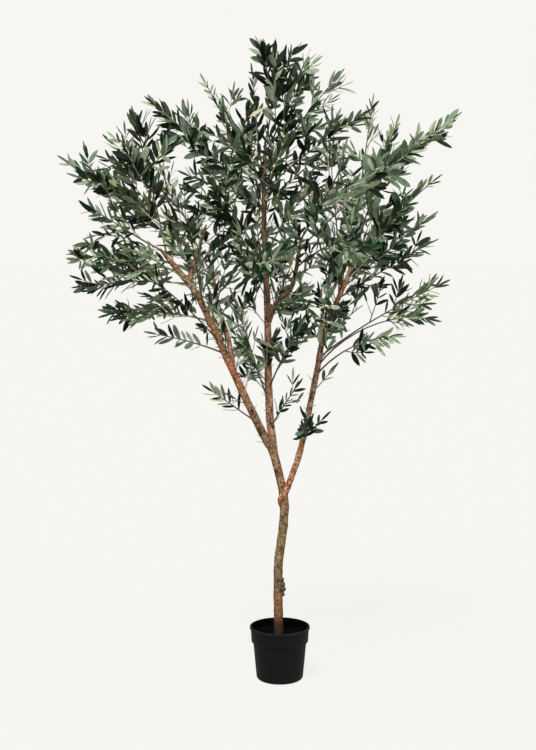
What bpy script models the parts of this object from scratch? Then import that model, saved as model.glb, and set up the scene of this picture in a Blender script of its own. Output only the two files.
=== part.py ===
"""A potted artificial olive tree, 2.2 m tall: slim boughs on a pole-like trunk, in a filled nursery pot.

Metres, +Z up. The origin is the centre of the pot's flat underside. Seen from the front, +X is to the right
and +Y is away. Each limb is one tapering solid. Each mass of foliage is one solid too: a wire stem that
leaves its limb, side shoots that branch from the stem by a seeded rule, and leaves along all of them.
"""

import math
import random
from collections import namedtuple

import bmesh
import bpy
from mathutils import Matrix, Vector
from mathutils.bvhtree import BVHTree

GAP = 0.0003  # between two solids that meet

# --- pot and fill
POT_HEIGHT = 0.187
POT_RIM_RADIUS = 0.105
POT_BASE_RADIUS = 0.082
POT_CORNER = 0.011  # radius of the edge round the underside
POT_WALL = 0.0028
COLLAR_HEIGHT = 0.052  # the wider band round the top
COLLAR_STEP = 0.0065  # how far the band stands out from the wall under it
COLLAR_SLOPE = 0.005  # height of the slope under the band
COLLAR_FLARE = 0.002  # how much wider the band is at its top
LIP_HEIGHT = 0.010
LIP_STEP = 0.0035
FILL_DEPTH = 0.025  # from the rim down to the fill
POT_SEGMENTS = 28

# --- limbs: knots of the centre line, then the radius at the foot and at the tip
FILL_LEVEL = POT_HEIGHT - FILL_DEPTH
Limb = namedtuple("Limb", "parent knots foot_radius tip_radius sides")
LIMBS = {
    "trunk": Limb(
        None,
        [(-0.004, 0, FILL_LEVEL + GAP), (-0.006, 0, 0.380), (0.004, 0, 0.483), (0.012, 0, 0.550),
         (0.014, 0, 0.652)],
        0.0160, 0.0155, 8,
    ),
    "bough_left": Limb(
        "trunk",
        [(0.013, 0, 0.646), (-0.036, -0.015, 0.837), (-0.132, -0.045, 1.028), (-0.254, -0.085, 1.302),
         (-0.288, -0.100, 1.367), (-0.398, -0.120, 1.503)],
        0.0145, 0.0090, 8,
    ),
    "bough_right": Limb(
        "trunk",
        [(0.012, -0.004, 0.630), (0.072, -0.010, 0.819), (0.122, 0.020, 1.055), (0.161, 0.050, 1.232),
         (0.275, 0.100, 1.489)],
        0.0110, 0.0085, 8,
    ),
    "bough_centre": Limb(
        "bough_left",
        [(-0.032, -0.013, 0.822), (-0.041, 0.030, 1.085), (-0.043, 0.050, 1.284), (-0.055, 0.045, 1.592),
         (-0.051, 0.035, 1.862)],
        0.0140, 0.0060, 8,
    ),
    "bough_centre_fork": Limb(
        "bough_centre",
        [(-0.043, 0.047, 1.250), (-0.011, 0, 1.321), (0.041, -0.050, 1.381), (0.068, -0.110, 1.540)],
        0.0095, 0.0055, 6,
    ),
    "bough_left_fork": Limb(
        "bough_left",
        [(-0.290, -0.101, 1.370), (-0.300, -0.080, 1.422), (-0.283, -0.050, 1.475), (-0.251, 0, 1.582)],
        0.0090, 0.0055, 6,
    ),
    "bough_left_rear": Limb(
        "bough_left",
        [(-0.158, -0.052, 1.084), (-0.175, 0, 1.184), (-0.215, 0.090, 1.306), (-0.238, 0.150, 1.433)],
        0.0095, 0.0060, 6,
    ),
}
LIMB_TAPER = 1.5  # above 1, a limb keeps its girth low down and tapers more towards its tip
LIMB_STEP = 0.060  # between two rings of a limb
FOOT_FLARE = 0.0025  # how much wider the trunk is where it stands in the fill
FLARE_HEIGHT = 0.035
STUB_HEIGHT = 0.318  # the sawn-off side branch low on the trunk
STUB_LENGTH = 0.031
STUB_RADII = (0.0080, 0.0055)
STUB_WAY = (1, -0.25, 0.35)
STUB_SIDES = 6

# --- leaves: lengths in metres, and the other sizes as shares of a leaf's length
LEAF_LENGTH = 0.125  # each stands for several of the tree's own
SMALL_LEAF = 0.085  # on the few short sprays under the crown
LEAF_WIDTH = 0.29
LEAF_WIDEST = 0.42
LEAF_THICKNESS = 0.030  # at its keel; it thins evenly to both edges and both ends
LEAF_DROOP = 0.08
LEAF_PITCH = 0.48  # between two leaves along a wire
LEAF_ROOT = 0.07  # how wide a leaf still is where it is sunk in its wire, as a share of its width
LEAF_SUNK = 0.003  # how far the leaf on a wire's tip is sunk in it
LEAF_LEAN = math.radians(46)  # between a leaf and its wire

# --- masses of foliage: where each one's stem leaves its limb, by height; the tip that it reaches; how many
# side shoots it has; how far round the stem, in degrees, the first of them stands and its last leaf faces;
# its leaves' length; the share of its stem that has no leaves; and how much the stem arches
Mass = namedtuple("Mass", "limb height reach shoots roll leaf bare arch", defaults=(LEAF_LENGTH, 0.30, 0.0))
MASSES = {
    # the left side, from the bottom up
    "spray_left_foot": Mass("bough_left", 0.905, (-0.266, -0.08, 1.046), 1, 180, SMALL_LEAF),
    "spray_left_skirt": Mass("bough_left", 1.150, (-0.453, -0.16, 1.232), 2, 110, SMALL_LEAF),
    "spray_left_wing_low": Mass("bough_left", 1.260, (-0.612, -0.10, 1.300), 4, 110),
    "spray_left_wing_mid": Mass("bough_left", 1.385, (-0.712, -0.02, 1.370), 3, 110),
    "spray_left_wing_front": Mass("bough_left", 1.430, (-0.694, -0.24, 1.488), 3, 20),
    "spray_left_wing_high": Mass("bough_left", 1.500, (-0.666, -0.10, 1.655), 4, 140),
    "spray_left_shoulder": Mass("bough_left_fork", 1.470, (-0.750, -0.02, 1.815), 4, 100),
    "spray_left_crest_low": Mass("bough_left_fork", 1.530, (-0.606, 0.05, 1.890), 3, 90),
    "spray_left_crest_mid": Mass("bough_left", 1.475, (-0.495, -0.05, 1.977), 4, 60),
    "spray_left_crest_high": Mass("bough_centre", 1.635, (-0.459, 0.02, 2.014), 4, 30),
    "spray_left_feather": Mass("bough_centre", 1.680, (-0.276, 0.10, 2.100), 2, 70, SMALL_LEAF, 0.55),
    "spray_inner_crest": Mass("bough_centre", 1.715, (-0.220, -0.05, 2.023), 3, 30),
    # the top
    "spray_top": Mass("bough_centre", 1.860, (-0.014, 0.05, 2.210), 3, 60),
    "spray_top_right": Mass("bough_centre", 1.820, (0.104, 0.0, 2.172), 3, 30),
    "spray_top_left": Mass("bough_centre", 1.740, (-0.100, 0.10, 2.135), 2, 30),
    # the right side, from the top down
    "spray_right_crest_high": Mass("bough_centre", 1.765, (0.215, -0.02, 2.101), 3, 90),
    "spray_right_crest_front": Mass("bough_centre", 1.693, (0.304, -0.12, 1.962), 3, 20),
    "spray_right_feather": Mass("bough_right", 1.455, (0.323, 0.12, 2.037), 3, 60),
    "spray_right_crest": Mass("bough_right", 1.425, (0.405, 0.03, 1.958), 3, 110),
    "spray_right_arm_high": Mass("bough_centre_fork", 1.500, (0.605, -0.05, 1.956), 3, 0, SMALL_LEAF, 0.50),
    "spray_right_arm": Mass("bough_right", 1.400, (0.530, -0.14, 1.747), 2, 200, LEAF_LENGTH, 0.30, 0.15),
    "spray_right_arm_mid": Mass("bough_right", 1.370, (0.540, 0.02, 1.629), 2, 290),
    "spray_right_arm_low": Mass("bough_right", 1.330, (0.558, 0.14, 1.535), 2, 290),
    "spray_right_wing_high": Mass("bough_right", 1.128, (0.574, -0.05, 1.400), 4, 60, LEAF_LENGTH, 0.50),
    "spray_right_wing_low": Mass("bough_right", 1.098, (0.556, 0.03, 1.245), 3, 30, SMALL_LEAF, 0.55, 0.70),
    "spray_right_skirt": Mass("bough_right", 1.068, (0.420, -0.12, 1.210), 1, 340, SMALL_LEAF, 0.45, 0.40),
    "spray_right_foot": Mass("bough_right", 0.825, (0.114, -0.07, 0.948), 0, 160, SMALL_LEAF),
    # low down between the boughs
    "spray_centre_foot": Mass("bough_centre", 0.885, (0.077, -0.08, 1.070), 1, 70, SMALL_LEAF),
    "spray_centre_skirt": Mass("bough_centre", 1.020, (0.085, -0.14, 1.290), 3, 340, SMALL_LEAF),
    "spray_inner_foot": Mass("bough_centre", 0.970, (-0.170, -0.12, 1.380), 4, 60),
    # inside the crown
    "spray_inner_left": Mass("bough_centre", 1.440, (-0.262, -0.16, 1.790), 4, 30),
    "spray_inner_right": Mass("bough_centre", 1.480, (0.120, 0.06, 1.780), 3, 60),
    "spray_inner_low": Mass("bough_centre", 1.220, (0.040, 0.20, 1.440), 2, 290),
    # towards the front
    "spray_front_left": Mass("bough_left", 1.300, (-0.290, -0.50, 1.640), 4, 30),
    "spray_front_left_low": Mass("bough_left", 1.190, (-0.380, -0.42, 1.400), 3, 60),
    "spray_front_centre": Mass("bough_centre", 1.330, (-0.090, -0.52, 1.480), 4, 90),
    "spray_front_centre_high": Mass("bough_centre", 1.560, (-0.020, -0.40, 1.860), 4, 20),
    "spray_front_right": Mass("bough_centre_fork", 1.440, (0.250, -0.50, 1.560), 4, 50),
    "spray_front_right_low": Mass("bough_centre_fork", 1.360, (0.120, -0.40, 1.260), 3, 80),
    "spray_front_right_high": Mass("bough_centre_fork", 1.535, (0.210, -0.36, 1.790), 4, 110),
    # towards the back
    "spray_rear_left": Mass("bough_left_rear", 1.400, (-0.420, 0.46, 1.760), 4, 30),
    "spray_rear_left_low": Mass("bough_left_rear", 1.290, (-0.380, 0.44, 1.380), 4, 60),
    "spray_rear_centre": Mass("bough_centre", 1.380, (-0.100, 0.52, 1.560), 4, 90),
    "spray_rear_centre_high": Mass("bough_centre", 1.600, (-0.160, 0.40, 1.920), 4, 20),
    "spray_rear_right": Mass("bough_right", 1.290, (0.400, 0.48, 1.640), 4, 50),
    "spray_rear_right_low": Mass("bough_right", 1.160, (0.330, 0.42, 1.300), 4, 80),
    "spray_rear_right_high": Mass("bough_right", 1.360, (0.180, 0.40, 1.900), 4, 110),
}
STEM_RADII = (0.0044, 0.0034)  # at the root and at the tip, to the corners of the three-sided wire
STEM_SEGMENTS = 5
STEM_LEAVE = (0.60, 0.45, 0.30)  # how much a stem leaves its limb towards its reach, up the limb and outwards
STEM_DROOP = 0.10  # how much it turns down by its tip
STEM_BOW = 0.33  # how long it keeps its first and last directions, as a share of its length
SHOOT_RADII = (0.0036, 0.0030)
SHOOT_SEGMENTS = 2
SHOOT_LENGTH = 0.235  # of a side shoot, to the tip of its last leaf
SHOOT_LEAN = math.radians(42)  # between a side shoot and its stem
SHOOT_LIFT = 0.15  # how far a shoot's tip turns upwards, as a share of its length
SHOOT_HANG = 0.15  # how far below its root a shoot's tip may hang, as a share of its length
SHOOT_SPAN = (0.20, 0.68)  # the stretch of a stem that side shoots leave from
BARE_SPARE = 0.10  # how far they start within the bare share of a stem, at most
SHOOT_TRIES = 6  # ways round its stem that a shoot may take
TIP_TURN = 75  # degrees that each wire's last leaf is turned on from the one before
BARE_SHOOT = 0.15  # share of a side shoot with no leaves
GOLDEN_ANGLE = math.radians(137.5)
SPACE = 0.24  # how far from its stem a mass may reach
BORDER = 0.030  # how much nearer than its own stem another mass's may be
CLEARANCE = 0.0012  # kept between pieces that don't join

BARK = ("bark", (0.26, 0.16, 0.085), 0.85)
LEAF = ("leaf", (0.075, 0.105, 0.055), 0.55)
PLASTIC = ("pot_plastic", (0.013, 0.013, 0.013), 0.5)
FILLING = ("fill", (0.012, 0.011, 0.010), 0.95)


def clear_scene():
    for obj in list(bpy.data.objects):
        bpy.data.objects.remove(obj)


def material(kind):
    """One Principled material for each kind: its name, base colour and roughness."""
    name, colour, roughness = kind
    made = bpy.data.materials.get(name) or bpy.data.materials.new(name)
    made.use_nodes = True
    shader = made.node_tree.nodes["Principled BSDF"]
    shader.inputs["Base Color"].default_value = (*colour, 1)
    shader.inputs["Roughness"].default_value = roughness
    shader.inputs["Metallic"].default_value = 0
    return made


def closed_mesh(name, shape):
    """A mesh from (points, faces), with its faces turned outwards."""
    points, faces = shape
    mesh = bpy.data.meshes.new(name)
    mesh.from_pydata([tuple(point) for point in points], [], faces)
    outward = bmesh.new()
    outward.from_mesh(mesh)
    bmesh.ops.recalc_face_normals(outward, faces=outward.faces)
    outward.to_mesh(mesh)
    outward.free()
    return mesh


def add_object(name, shape, kind, smooth=False):
    mesh = closed_mesh(name, shape)
    if smooth:
        mesh.shade_smooth()
        mesh.set_sharp_from_angle(angle=math.radians(40))
    mesh.materials.append(material(kind))
    obj = bpy.data.objects.new(name, mesh)
    bpy.context.scene.collection.objects.link(obj)
    return obj


def apply_boolean(obj, operation, shapes):
    """Joins the shapes to obj, or cuts them from it, in one Boolean on a collection."""
    group = bpy.data.collections.new("operands")
    for shape in shapes:
        group.objects.link(bpy.data.objects.new("operand", closed_mesh("operand", shape)))
    bpy.context.scene.collection.children.link(group)
    modifier = obj.modifiers.new("boolean", "BOOLEAN")
    modifier.operation = operation
    modifier.operand_type = "COLLECTION"
    modifier.collection = group
    modifier.solver = "EXACT"
    evaluated = obj.evaluated_get(bpy.context.evaluated_depsgraph_get())
    mesh = bpy.data.meshes.new_from_object(evaluated)
    obj.modifiers.clear()
    obj.data = mesh
    for operand in list(group.objects):
        bpy.data.objects.remove(operand)
    bpy.data.collections.remove(group)


def keep_largest(mesh):
    """Leaves only the mesh's largest shell: a hollow that a join sealed is filled, a scrap is dropped."""
    shape = bmesh.new()
    shape.from_mesh(mesh)
    unseen, shells = set(shape.verts), []
    while unseen:
        shell, edge = set(), [unseen.pop()]
        while edge:
            vert = edge.pop()
            shell.add(vert)
            edge += [e.other_vert(vert) for e in vert.link_edges if e.other_vert(vert) in unseen]
            unseen.difference_update(edge)
        shells.append(shell)
    shells.sort(key=len)
    bmesh.ops.delete(shape, geom=[vert for shell in shells[:-1] for vert in shell], context="VERTS")
    shape.to_mesh(mesh)
    shape.free()


# --- curves and tubes
def spline(knots, step):
    """Points about a step apart on the Catmull-Rom curve through the knots."""
    knots = [Vector(k) for k in knots]
    ends = [2 * knots[0] - knots[1], *knots, 2 * knots[-1] - knots[-2]]
    points = [knots[0]]
    for a, b, c, d in zip(ends, ends[1:], ends[2:], ends[3:]):
        pieces = max(1, round((c - b).length / step))
        for i in range(1, pieces + 1):
            t = i / pieces
            bend = (2 * a - 5 * b + 4 * c - d) * t**2 + (3 * b - a - 3 * c + d) * t**3
            points.append(b + ((c - a) * t + bend) / 2)
    return points


def bezier(start, leave, arrive, end, pieces):
    """Points on the cubic that leaves start by the vector leave and arrives at end by the vector arrive."""
    second, third = start + leave, end - arrive
    points = []
    for i in range(pieces + 1):
        t = i / pieces
        s = 1 - t
        points.append(s**3 * start + 3 * s * s * t * second + 3 * s * t * t * third + t**3 * end)
    return points


def turned(vector, axis, angle):
    return Matrix.Rotation(angle, 3, axis) @ vector


class Line:
    """A line of points with, at each, how far along it lies and a frame that doesn't twist."""

    def __init__(self, points):
        self.points = points
        self.along = [0.0]
        for a, b in zip(points, points[1:]):
            self.along.append(self.along[-1] + (b - a).length)
        self.length = self.along[-1]
        before, after = [points[0], *points[:-1]], [*points[1:], points[-1]]
        self.ways = [(b - a).normalized() for a, b in zip(before, after)]
        helper = Vector((0, 1, 0)) if abs(self.ways[0].y) < 0.8 else Vector((1, 0, 0))
        normal = self.ways[0].cross(helper)
        self.normals = []
        for way in self.ways:
            normal = (normal - way * normal.dot(way)).normalized()
            self.normals.append(normal)

    def at(self, distance):
        """(place, direction, normal) that distance along the line."""
        i = 0
        while i < len(self.points) - 2 and distance > self.along[i + 1]:
            i += 1
        share = (distance - self.along[i]) / (self.along[i + 1] - self.along[i])
        place = self.points[i].lerp(self.points[i + 1], share)
        way = (self.points[i + 1] - self.points[i]).normalized()
        normal = self.normals[i].lerp(self.normals[i + 1], share)
        return place, way, (normal - way * normal.dot(way)).normalized()

    def at_height(self, height):
        """(place, direction, normal) where a rising line passes that height."""
        for start, a, b in zip(self.along, self.points, self.points[1:]):
            if a.z <= height <= b.z:
                return self.at(start + (b - a).length * (height - a.z) / (b.z - a.z))
        return self.at(self.length)

    def distance_to(self, point):
        best = math.inf
        for a, b in zip(self.points, self.points[1:]):
            share = max(0.0, min(1.0, (point - a).dot(b - a) / (b - a).length_squared))
            best = min(best, (point - a.lerp(b, share)).length)
        return best


def tube(line, radii, sides):
    """(points, faces) of a closed tube along the line."""
    corners, faces = [], []
    for point, way, normal, radius in zip(line.points, line.ways, line.normals, radii):
        for k in range(sides):
            corners.append(point + radius * turned(normal, way, 2 * math.pi * k / sides))
    for ring in range(len(line.points) - 1):
        for k in range(sides):
            a, b = ring * sides + k, ring * sides + (k + 1) % sides
            faces.append((a, b, b + sides, a + sides))
    faces.append(tuple(range(sides)))
    faces.append(tuple(range(len(corners) - sides, len(corners))))
    return corners, faces


def wire_shape(line, ends, extra=0.0):
    """A three-sided wire whose radius runs evenly between the two ends."""
    steps = len(line.points) - 1
    return tube(line, [ends[0] + (ends[1] - ends[0]) * i / steps + extra for i in range(steps + 1)], 3)


# --- limbs
def limb_line(limb):
    points = spline(limb.knots, LIMB_STEP)
    if limb.parent is None:
        points.insert(1, points[0].lerp(points[1], FLARE_HEIGHT / (points[1] - points[0]).length))
    return Line(points)


def limb_shape(limb, line, margin=0.0):
    """(points, faces) of a limb, larger all round by the margin where it is to cut its neighbours clear."""
    radii = []
    for distance in line.along:
        share = (distance / line.length) ** LIMB_TAPER
        radius = limb.foot_radius + (limb.tip_radius - limb.foot_radius) * share
        if limb.parent is None:
            radius += FOOT_FLARE * max(0.0, 1 - distance / FLARE_HEIGHT) ** 2
        radii.append(radius + margin / math.cos(math.pi / limb.sides))
    first = line.points[0] - line.ways[0] * margin
    last = line.points[-1] + line.ways[-1] * margin
    return tube(Line([first, *line.points[1:-1], last]), radii, limb.sides)


def add_stub(trunk, line):
    """The short stump of a sawn-off branch on the trunk's right."""
    root, _, _ = line.at_height(STUB_HEIGHT)
    tip = root + Vector(STUB_WAY).normalized() * STUB_LENGTH
    apply_boolean(trunk, "UNION", [tube(Line([root, tip]), STUB_RADII, STUB_SIDES)])


def build_limbs():
    """Every limb's object. Returns their centre lines and the shapes that cut other pieces clear of them."""
    lines = {name: limb_line(limb) for name, limb in LIMBS.items()}
    cutters = {name: limb_shape(limb, lines[name], GAP) for name, limb in LIMBS.items()}
    for name, limb in LIMBS.items():
        obj = add_object(name, limb_shape(limb, lines[name]), BARK, smooth=True)
        if name == "trunk":
            add_stub(obj, lines[name])
        elif name == "bough_right":
            # The trunk's top carries both this and the left bough.
            apply_boolean(obj, "DIFFERENCE", [cutters["trunk"], cutters["bough_left"]])
        else:
            apply_boolean(obj, "DIFFERENCE", [cutters[limb.parent]])
    return lines, cutters


# --- foliage
def stem_line(mass, lines):
    """A stem starts in the middle of its limb, leaves it at a lean and bows over to its reach."""
    root, along, _ = lines[mass.limb].at_height(mass.height)
    reach = Vector(mass.reach)
    length = (reach - root).length
    ahead = (reach - root) / length
    outward = (ahead - along * ahead.dot(along)).normalized()
    leave = (ahead * STEM_LEAVE[0] + along * STEM_LEAVE[1] + outward * STEM_LEAVE[2]).normalized()
    leave += Vector((0, 0, mass.arch))
    arrive = ahead - Vector((0, 0, STEM_DROOP + mass.arch))
    bow = length * STEM_BOW
    return Line(bezier(root, leave.normalized() * bow, arrive.normalized() * bow, reach, 2 * STEM_SEGMENTS))


def shoot_line(stem, station, azimuth, length):
    """A side shoot leaves its stem at a lean and turns a little upwards. It ends short of the stem's tip."""
    root, along, normal = stem.at(stem.length * station)
    length = min(length, stem.length * (1 - station) / math.cos(SHOOT_LEAN))
    leave = turned(along, turned(normal, along, azimuth), SHOOT_LEAN)
    tip = root + (leave + Vector((0, 0, SHOOT_LIFT))).normalized() * length
    return Line(bezier(root, leave * length * 0.4, (tip - root) * 0.4, tip, 2 * SHOOT_SEGMENTS))


def wire_under(line, leaf, pieces):
    """The wire under a line that ends in a leaf: the line without its last leaf's length."""
    total = line.length - leaf
    return Line([line.at(total * i / pieces)[0] for i in range(pieces + 1)])


def leaf_shape(root, tip, up, extra=0.0):
    """(points, faces) of a slim keeled leaf. Its root is a small triangle, to be sunk in a wire."""
    length = (tip - root).length
    way = (tip - root) / length
    side = way.cross(up).normalized()
    up = side.cross(way)
    corners = []
    for middle, scale in ((root, LEAF_ROOT), (root.lerp(tip, LEAF_WIDEST), 1.0)):
        half = side * (LEAF_WIDTH / 2 * length * scale + extra)
        keel = up * (LEAF_THICKNESS * length * scale + extra)
        corners += [middle + half - up * extra, middle - half - up * extra, middle + keel]
    corners.append(tip + way * extra)
    faces = [(0, 1, 2), (0, 3, 4, 1), (1, 4, 5, 2), (2, 5, 3, 0), (3, 6, 4), (4, 6, 5), (5, 6, 3)]
    return corners, faces


def leaf_places(wire, bare, leaf, rng):
    """For each leaf down a wire, the three ways that it may take: each a root, a tip and its upper side.

    The wire has three flat sides, and a leaf leaves the middle of one.
    """
    side_number = rng.randrange(3)
    distance = wire.length - LEAF_PITCH * leaf / 2
    while distance > bare * wire.length + LEAF_SUNK:
        root, along, normal = wire.at(distance)
        lean = LEAF_LEAN * rng.uniform(0.85, 1.15)
        ways = []
        for i in range(3):
            outward = turned(normal, along, math.radians(60 + 120 * (side_number + i)))
            way = along * math.cos(lean) + outward * math.sin(lean)
            up = (along - way * along.dot(way)).normalized()
            ways.append((root, root + (way - up * LEAF_DROOP).normalized() * leaf, up))
        yield ways
        side_number += 1
        distance -= LEAF_PITCH * leaf * rng.uniform(0.9, 1.1)


class Spray:
    """A mass as it grows: its stem's whole line, and every wire and leaf so far."""

    def __init__(self, name, mass, lines):
        self.name = name
        self.mass = mass
        self.rng = random.Random(name)
        self.stem = stem_line(mass, lines)
        self.wires = []
        self.pieces = []

    def tip_leaf(self, line, wire):
        """(root, tip, upper side) of the leaf that ends a wire, along the rest of the wire's line."""
        root, way, normal = wire.at(wire.length - LEAF_SUNK)
        turn = self.mass.roll + TIP_TURN * (len(self.wires) + 1)
        return root, line.points[-1], turned(normal, way, math.radians(turn))


class Crown:
    """All the masses, and the room that their pieces and the limbs take up."""

    def __init__(self, lines, cutters):
        self.sprays = [Spray(name, mass, lines) for name, mass in MASSES.items()]
        self.taken = []
        for name, shape in cutters.items():
            self.take(name, shape)

    def take(self, owner, shape):
        low, high = Vector(map(min, *shape[0])), Vector(map(max, *shape[0]))
        self.taken.append((owner, low, high, BVHTree.FromPolygons(*shape)))

    def is_free(self, shape, besides=None):
        """Whether the shape touches nothing, besides what that owner has."""
        low, high = Vector(map(min, *shape[0])), Vector(map(max, *shape[0]))
        tree = BVHTree.FromPolygons(*shape)
        for owner, other_low, other_high, other in self.taken:
            apart = any(low[i] > other_high[i] or high[i] < other_low[i] for i in range(3))
            if owner != besides and not apart and tree.overlap(other):
                return False
        return True

    def is_own_space(self, points, spray):
        """Whether every point is near the spray's own stem and hardly nearer to any other."""
        for point in points:
            own = spray.stem.distance_to(point)
            if own > SPACE or any(s.stem.distance_to(point) < own - BORDER for s in self.sprays):
                return False
        return True

    def add(self, spray, owner, shape):
        self.take(owner, shape)
        spray.pieces.append(shape)

    def grow_stem(self, spray):
        """A mass's stem and the leaf on its tip, which reaches as far as the mass does."""
        wire = wire_under(spray.stem, spray.mass.leaf, STEM_SEGMENTS)
        leaf = spray.tip_leaf(spray.stem, wire)
        stem_shape, tip_shape = wire_shape(wire, STEM_RADII), leaf_shape(*leaf)
        if not self.is_free(stem_shape, besides=spray.mass.limb) or not self.is_free(tip_shape):
            raise ValueError(f"the stem of {spray.name} touches another piece")
        self.add(spray, spray.name, stem_shape)
        self.add(spray, spray.name, tip_shape)
        spray.wires.append((spray.name, wire, spray.mass.bare))

    def grow_shoots(self, spray):
        """A mass's side shoots, each turned round the stem until it finds room for its wire and tip leaf."""
        azimuth = math.radians(spray.mass.roll)
        low, high = max(SHOOT_SPAN[0], spray.mass.bare - BARE_SPARE), SHOOT_SPAN[1]
        for number in range(spray.mass.shoots):
            station = low + (high - low) * (number + 0.5) / spray.mass.shoots
            length = SHOOT_LENGTH * spray.rng.uniform(0.9, 1.1)
            for _ in range(SHOOT_TRIES):
                line = shoot_line(spray.stem, station, azimuth, length)
                if self.has_room_for_shoot(spray, line):
                    self.add_shoot(spray, f"{spray.name} {number}", line)
                    break
                azimuth += 2 * math.pi / SHOOT_TRIES
            azimuth += GOLDEN_ANGLE

    def has_room_for_shoot(self, spray, line):
        if line.points[0].z - line.points[-1].z > SHOOT_HANG * line.length:
            return False
        wire = wire_under(line, spray.mass.leaf, SHOOT_SEGMENTS)
        if not self.is_own_space([*wire.points[1:], line.points[-1]], spray):
            return False
        room = wire_shape(wire, SHOOT_RADII, CLEARANCE)
        leaf_room = leaf_shape(*spray.tip_leaf(line, wire), CLEARANCE)
        return self.is_free(room, besides=spray.name) and self.is_free(leaf_room)

    def add_shoot(self, spray, owner, line):
        wire = wire_under(line, spray.mass.leaf, SHOOT_SEGMENTS)
        self.add(spray, owner, wire_shape(wire, SHOOT_RADII))
        self.add(spray, owner, leaf_shape(*spray.tip_leaf(line, wire)))
        spray.wires.append((owner, wire, BARE_SHOOT))

    def grow_leaves(self, spray):
        """The leaves along each wire of a mass, each turned round its wire until it finds room."""
        for owner, wire, bare in spray.wires:
            for ways in leaf_places(wire, bare, spray.mass.leaf, spray.rng):
                for leaf in ways:
                    room = leaf_shape(*leaf, CLEARANCE)
                    if self.is_own_space(room[0][3:], spray) and self.is_free(room, besides=owner):
                        self.add(spray, f"{owner} leaf", leaf_shape(*leaf))
                        break


def build_foliage(lines, cutters):
    """Every mass's stem grows before any side shoot, and every shoot before any leaf."""
    crown = Crown(lines, cutters)
    for grow in (crown.grow_stem, crown.grow_shoots, crown.grow_leaves):
        for spray in crown.sprays:
            grow(spray)
    for spray in crown.sprays:
        stem, *others = spray.pieces
        obj = add_object(spray.name, stem, LEAF)
        apply_boolean(obj, "DIFFERENCE", [cutters[spray.mass.limb]])
        apply_boolean(obj, "UNION", others)
        keep_largest(obj.data)


# --- pot
def lathe(name, profile, kind):
    """A turned solid from (radius, height) points that start and end on the axis."""
    corners, rings = [], []
    for radius, height in profile:
        count = POT_SEGMENTS if radius > 0 else 1
        rings.append([len(corners) + k % count for k in range(POT_SEGMENTS + 1)])
        for k in range(count):
            turn = 2 * math.pi * k / POT_SEGMENTS
            corners.append(Vector((radius * math.cos(turn), radius * math.sin(turn), height)))
    faces = []
    for lower, upper in zip(rings, rings[1:]):
        for k in range(POT_SEGMENTS):
            faces.append(tuple(dict.fromkeys((lower[k], lower[k + 1], upper[k + 1], upper[k]))))
    return add_object(name, (corners, faces), kind, smooth=True)


def build_pot():
    """The pot, and the fill that it holds up to the fill level."""
    under_collar = POT_HEIGHT - COLLAR_HEIGHT
    collar_top = POT_RIM_RADIUS - LIP_STEP
    collar_foot = collar_top - COLLAR_FLARE
    neck = collar_foot - COLLAR_STEP
    edge = [
        (POT_BASE_RADIUS - POT_CORNER * (1 - math.sin(angle)), POT_CORNER * (1 - math.cos(angle)))
        for angle in (0, math.radians(45), math.radians(90))
    ]
    outside = [
        *edge,
        (neck, under_collar - COLLAR_SLOPE),
        (collar_foot, under_collar),
        (collar_top, POT_HEIGHT - LIP_HEIGHT),
        (POT_RIM_RADIUS, POT_HEIGHT - LIP_HEIGHT + LIP_STEP / 2),
        (POT_RIM_RADIUS, POT_HEIGHT),
    ]
    floor_radius = POT_BASE_RADIUS - POT_WALL - POT_CORNER / 4
    inside = [
        (floor_radius, POT_WALL),
        (neck - POT_WALL, under_collar),
        (collar_foot - POT_WALL, under_collar + COLLAR_SLOPE),
        (collar_top - POT_WALL, POT_HEIGHT),
    ]
    lathe("pot", [(0, 0), *outside, *reversed(inside), (0, POT_WALL)], PLASTIC)
    bottom = POT_WALL + GAP
    share = (FILL_LEVEL - under_collar - COLLAR_SLOPE) / (COLLAR_HEIGHT - COLLAR_SLOPE)
    filling = [
        (0, bottom),
        (floor_radius - GAP, bottom),
        (neck - POT_WALL - GAP, under_collar),
        (collar_foot - POT_WALL - GAP, under_collar + COLLAR_SLOPE),
        (collar_foot - POT_WALL - GAP + COLLAR_FLARE * share, FILL_LEVEL),
        (0, FILL_LEVEL),
    ]
    lathe("pot_fill", filling, FILLING)


def main():
    clear_scene()
    build_pot()
    lines, cutters = build_limbs()
    build_foliage(lines, cutters)


main()
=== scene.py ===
"""The looks of a potted artificial olive tree: bark, wires, leaves, pot, floor, light and camera.

Metres, +Z up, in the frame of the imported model. Seen from the front, +X is to the right and +Y is away. The
limbs and the stems of the masses of foliage follow the model's own tables. From each stem the same rule grows
more and finer shoots, and life-size leaves along all of them.
"""

import math
import random
from collections import namedtuple

import bpy
import numpy as np
from mathutils import Matrix, Vector, noise


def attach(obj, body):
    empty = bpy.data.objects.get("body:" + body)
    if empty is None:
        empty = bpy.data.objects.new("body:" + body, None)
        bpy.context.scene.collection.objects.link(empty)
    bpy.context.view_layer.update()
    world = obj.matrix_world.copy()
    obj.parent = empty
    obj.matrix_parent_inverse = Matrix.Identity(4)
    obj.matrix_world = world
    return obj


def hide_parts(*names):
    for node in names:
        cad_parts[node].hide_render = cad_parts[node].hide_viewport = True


def srgb(*channels):
    """The linear colour that a screen shows as these 0 to 255 values."""
    return tuple((c / 255 / 12.92) if c <= 10 else ((c / 255 + 0.055) / 1.055) ** 2.4 for c in channels)


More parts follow.
